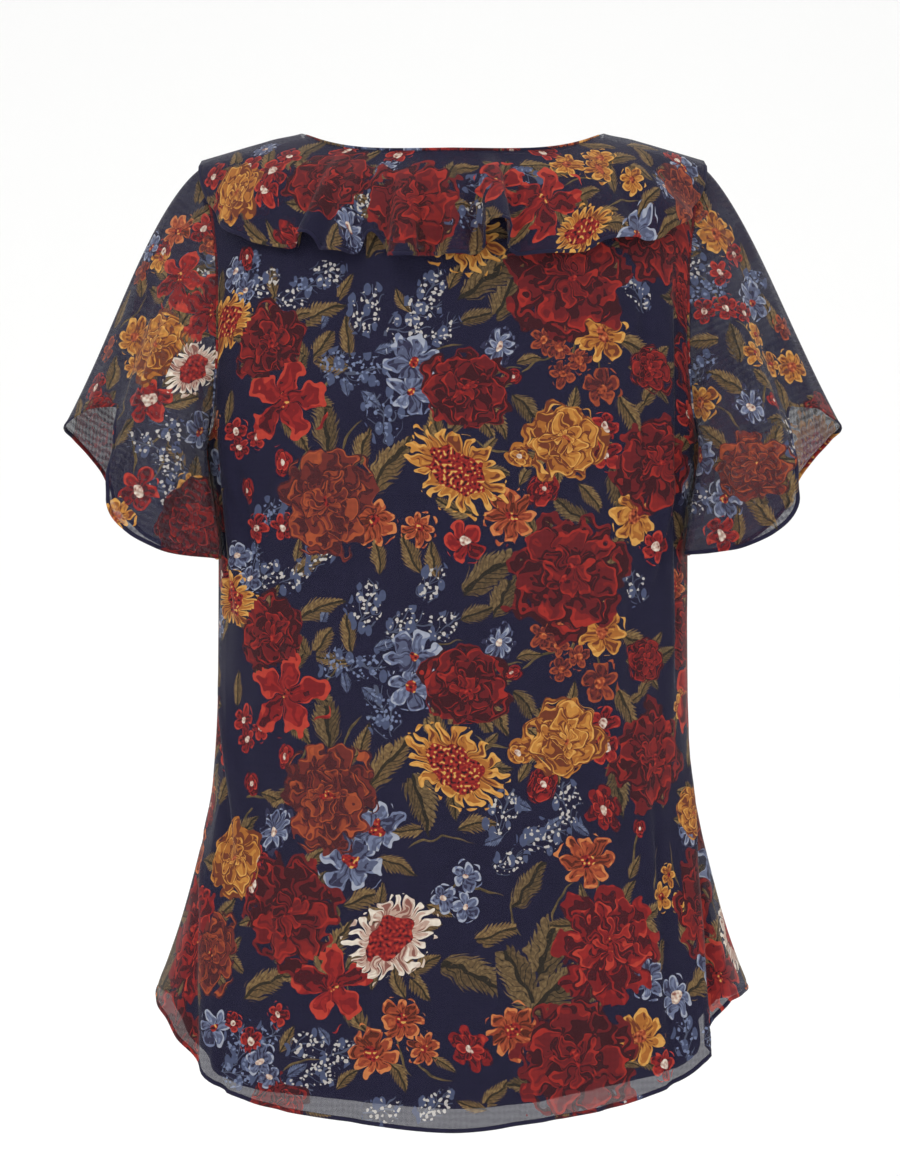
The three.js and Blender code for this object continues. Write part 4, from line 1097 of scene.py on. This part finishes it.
def flounce(name, face, places, edge, neckX, fluteAt, rows):
    place, out = np.meshgrid(places, np.linspace(0, 1, rows + 1))
    side = np.where(place == 0, np.sign(places.sum()) or 1, np.sign(place))
    points = flouncePoints(face, edge, neckX, fluteAt, side, np.abs(place), out)
    points = points[::-1]   # rows run upwards, from the free edge to the neckline
    outward = np.array([0, facing(face), 0.5]) + 0 * points
    normals = surfaceNormals(points)
    if np.sum(normals * outward) < 0:
        normals = -normals
    points = points + normals * clothLift
    depths = -runningLength(points, 0, rows)   # down from the neckline
    run = runningLength(points, 1, len(places) // 2)
    neckLong, edgeLong = np.ptp(run[rows]), np.ptp(run[0])
    ring = neckLong * depths[0].mean() / (edgeLong - neckLong) + depths   # a flounce is cut as part of a ring
    bearing = run / ring.mean(1, keepdims=True)
    flat = np.stack([ring * np.sin(bearing), ring[rows].mean() - ring * np.cos(bearing)], -1)
    keepEdges(name, points - normals * clothThick / 2, flat, normals)
    piece = layCloth(name, points, flat, outward=outward)
    return thicken(piece, clothThick, chiffonFace, chiffonReverse)


def backNeckX(along):
    return figure["neckHalf"] * np.sin(along * 90 * rad)


def frontNeckX(along):
    return figure["neckHalf"] * (1 - along * 0.985)


flounceChart = {
    "big": [
        ("ochreRose", -152, 65, 21, 0), ("redRose", -89, 4, 27, 0), ("peony", -33, -48, 36, 20),
        ("lily", 40, -32, 20, 60), ("lily", 80, -24, 25, 40), ("sunflower", 122, -16, 19, 46),
        ("rustRose", 166, 84, 26, 0)],
    "small": [
        ("redStar", -121, 43, 13, 0), ("redStar", -135, 35, 12, 30), ("cornflower", -96, -38, 15, 60),
        ("sideBloom", -147, -2, 17, 90), ("ochreDaisy", 77, 16, 12, 0), ("ochreDaisy", 98, 27, 12, 30),
        ("ochreDaisy", 126, 38, 11, 0), ("anemone", 160, 20, 18, 0), ("anemone", 142, 104, 14, 0),
        ("redStar", -164, 80, 10, 0), ("redStar", -38, 4, 9, 0), ("cornflower", 148, 62, 12, 0),
        ("redStar", -131, 70, 10, 0), ("cornflower", -47, -8, 10, 30), ("ochreDaisy", 93, 40, 11, 20),
        ("redStar", 152, 76, 10, 0), ("redStar", -104, 50, 9, 20), ("redStar", -151, 103, 11, 0),
        ("cornflower", -112, 78, 11, 0), ("redStar", -68, 32, 9, 0), ("redStar", 134, 104, 10, 0),
        ("redStar", 60, 22, 9, 0)],
    "leaf": {
        "olive": [
            (-118, 4, 13, 130, 0.1), (-98, 34, 12, 100, 0.1), (-8, -82, 14, 60, 0.1),
            (76, -48, 12, 20, 0.1), (102, -2, 13, 60, 0.1), (146, 40, 13, 90, 0.1),
            (-166, 30, 11, 100, 0.1), (140, 4, 13, 40, 0.1), (22, -78, 13, 100, 0.1),
            (-52, -10, 13, 120, 0.1), (58, 2, 13, 30, 0.1), (-114, -36, 12, 20, 0.1),
            (172, 50, 12, 80, 0.1), (-70, -38, 12, 160, 0.1), (52, -66, 12, 150, 0.1),
            (-152, 78, 12, 20, 0.1), (-142, 84, 13, 110, 0.1), (-117, 62, 13, 60, 0.1),
            (-158, 14, 12, 60, 0.1), (6, -20, 12, 20, 0.1), (108, 52, 14, 60, 0.1), (118, 74, 13, 150, 0.1),
            (-16, -22, 11, 100, 0.1), (124, 50, 13, 20, 0.1), (138, 76, 12, 100, 0.1), (74, 4, 11, 40, 0.1),
            (110, 27, 12, 130, 0.1), (-170, 92, 13, 100, 0.1), (-132, 92, 13, 60, 0.1),
            (152, 114, 12, 40, 0.1), (110, 86, 13, 60, 0.1), (86, 58, 12, 20, 0.1)],
        "brown": [
            (-72, -74, 15, 60, 0.1), (-2, -22, 12, 70, 0.1), (-98, 44, 15, 40, 0.1), (-85, 54, 14, 30, 0.1)]},
    "stem": [
        (-110, 18, 16, 120, 0.2), (94, 10, 18, 40, 0.2), (20, -40, 20, 80, 0.2), (130, 20, 16, 60, 0.2)],
    "spray": {
        "white": [(17, -55, 11, 0), (-72, -30, 11, 0)],
        "slate": [(-104, -54, 11, 0), (24, -34, 12, 0), (8, -62, 11, 0), (55, -12, 9, 0)]}}
backCut = (backFlounceEdge, backNeckX, backFluteAt, 30)
frontCut = (frontFlounceEdge, frontNeckX, frontFluteAt, 28)
flounceBack = flounce("flounce_back_cloth", "back", np.linspace(-1, 1, 181), *backCut)
motifsOf[flounceBack] = ownMotifs(flounceChart)
flounceRight = flounce("flounce_front_right_cloth", "front", np.linspace(0, 1, 121), *frontCut)
flounceLeft = flounce("flounce_front_left_cloth", "front", np.linspace(-1, 0, 121), *frontCut)
motifsOf[flounceRight], motifsOf[flounceLeft] = tiledMotifs(30, 300), tiledMotifs(-60, 260)
for piece in (flounceBack, flounceRight, flounceLeft):
    printMotifs(piece, motifsOf[piece])
print("flounces made")


# Narrow rolled hems, and the seams with their allowances rolled together
def roll(name, path, flat, outward, wide, thick, closed=False, around=8):
    # A flattened tube along an edge. wide lies in the cloth and thick stands out of it.
    path, outward = np.array(path), unit(np.array(outward, float))
    if closed:
        along = np.roll(path, -1, 0) - np.roll(path, 1, 0)
        along[0] = along[-1] = path[1] - path[-2]
    else:
        along = np.gradient(path, axis=0)
    along = unit(along)
    outward = unit(outward - along * np.sum(outward * along, -1, keepdims=True))
    side = np.cross(along, outward)
    turn = np.linspace(0, 2 * np.pi, around + 1)[None, :, None]
    ring = side[:, None] * np.cos(turn) * wide / 2 + outward[:, None] * np.sin(turn) * thick / 2
    full = np.ones(len(path))
    if not closed:
        full[0] = full[-1] = 0
    ring = ring * full[:, None, None]
    flatRing = flat[:, None] + np.concatenate([0 * turn, np.cos(turn) * wide / 2], -1)
    piece = layCloth(name, path[:, None] + ring, flatRing, closed=True, outward=ring)
    piece.data.materials.append(rolledHem)
    bpy.ops.object.shade_smooth()
    return piece


def edgeRoll(name, edge, wide, thick, closed=False, start=0, stop=None, every=1):
    path, flat, outward = (part[start:stop:every] for part in edges[edge])
    return roll(name, path, flat, outward, wide, thick, closed)


trims = {}   # sheet piece: its hems and seams
hemSize = {"wide": 3.0, "thick": 1.5}
for piece, name, edge, closed in [
    (backPanel, "hem_back", "low", False), (frontPanel, "hem_front", "low", False),
    (sleeveRight, "hem_sleeve_right", "high", True), (sleeveLeft, "hem_sleeve_left", "high", True),
    (flounceBack, "hem_flounce_back", "low", False), (flounceRight, "hem_flounce_front_right", "low", False),
    (flounceLeft, "hem_flounce_front_left", "low", False),
]:
    trim = edgeRoll(name, (piece.name, edge), hemSize["wide"], hemSize["thick"], closed)
    printMotifs(trim, motifsOf[piece])
    trims.setdefault(piece, []).append(trim)

# The neckline's seam, which holds the panel and its flounce together.
for piece, name in ((backPanel, "seam_neckline_back"), (frontPanel, "seam_neckline_front")):
    path, flat, outward = edges[piece.name, "high"]
    inNeck = np.abs(path[:, 0]) < figure["neckHalf"] + 0.5
    trim = roll(name, path[inNeck] + 1.6 * outward[inNeck], flat[inNeck], outward[inNeck], 2.6, 4.8)
    printMotifs(trim, motifsOf[piece])
    trims[piece].append(trim)

# Armhole seams, round from the top of the arm. They close the gap between the panels and the sleeve.
seamTurn = np.linspace(0, 360, 121)
seamPoint, seamNormal, seamOff = armholeFrame(seamTurn)
seamLap = (figure["clothWall"] + figure["seamGap"] + 0.3) * smooth(0.3, 0.8, (1 - np.cos(seamTurn * rad)) / 2)
seamPath = seamPoint + seamOff * 0.6 + seamNormal * (0.6 + seamLap / 2)[:, None]
for side, piece in ((1, sleeveRight), (-1, sleeveLeft)):
    flip = np.array([side, 1, 1])
    name = "seam_armhole_" + ("right" if side > 0 else "left")
    flat = np.stack([seamTurn * 1.6, 0 * seamTurn], -1)
    trim = roll(name, seamPath * flip, flat, seamNormal * flip, 3.6, 1.6, closed=True)
    printMotifs(trim, tiledMotifs(20, 300))
    trims[piece].append(trim)

# Side seams, from the hem to the underarm, and shoulder seams, from the neck to the armhole.
underarmRow = 134
for side in (1, -1):
    word = "right" if side > 0 else "left"
    path, flat, _ = (part[:underarmRow] for part in edges["back_cloth", "last" if side > 0 else "first"])
    path = path * np.array([1, 0, 1])
    trim = roll("seam_side_" + word, path, flat, np.tile([side, 0, 0.0], (len(path), 1)), 3.0, 1.4)
    printMotifs(trim, backMotifs())
    trims[backPanel].append(trim)
    x = np.linspace(figure["neckHalf"], figure["shoulderHalf"], 24)
    path = np.stack([side * x, 0 * x, shoulderLine(x) + 0.4], -1)
    flat = np.stack([x * side, 0 * x - 60], -1)
    trim = roll("seam_shoulder_" + word, path, flat, np.tile([0, 0, 1.0], (len(x), 1)), 3.0, 1.2)
    printMotifs(trim, backMotifs())
    trims[backPanel].append(trim)
print("hems and seams made")

# What each piece stands for, and the size it was cut to
cuts = [  # piece, CAD node, cut's width and length in metres, cut's area, what it hangs on
    (backPanel, "back", (0.60, 0.72), 0.304, ["lining_back_cloth"]),
    (frontPanel, "front", (0.60, 0.68), 0.277, ["lining_front_cloth"]),
    (sleeveRight, "sleeve_right", (0.47, 0.28), 0.056, ["back_cloth", "front_cloth"]),
    (sleeveLeft, "sleeve_left", (0.47, 0.28), 0.058, ["back_cloth", "front_cloth"]),
    (flounceBack, "flounce_back", (0.35, 0.25), 0.038, ["back_cloth"]),
    (flounceRight, "flounce_front_right", (0.32, 0.13), 0.022, ["front_cloth"]),
    (flounceLeft, "flounce_front_left", (0.32, 0.13), 0.022, ["front_cloth"]),
    (liningBack, "lining_back", (0.56, 0.70), 0.281, ["back_cloth"]),
    (liningFront, "lining_front", (0.56, 0.66), 0.254, ["front_cloth"])]
for piece, node, size, area, carrier in cuts:
    trimmed = trims.get(piece, [])
    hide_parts(node)
    for part in [piece, *trimmed]:
        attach(part, "root")
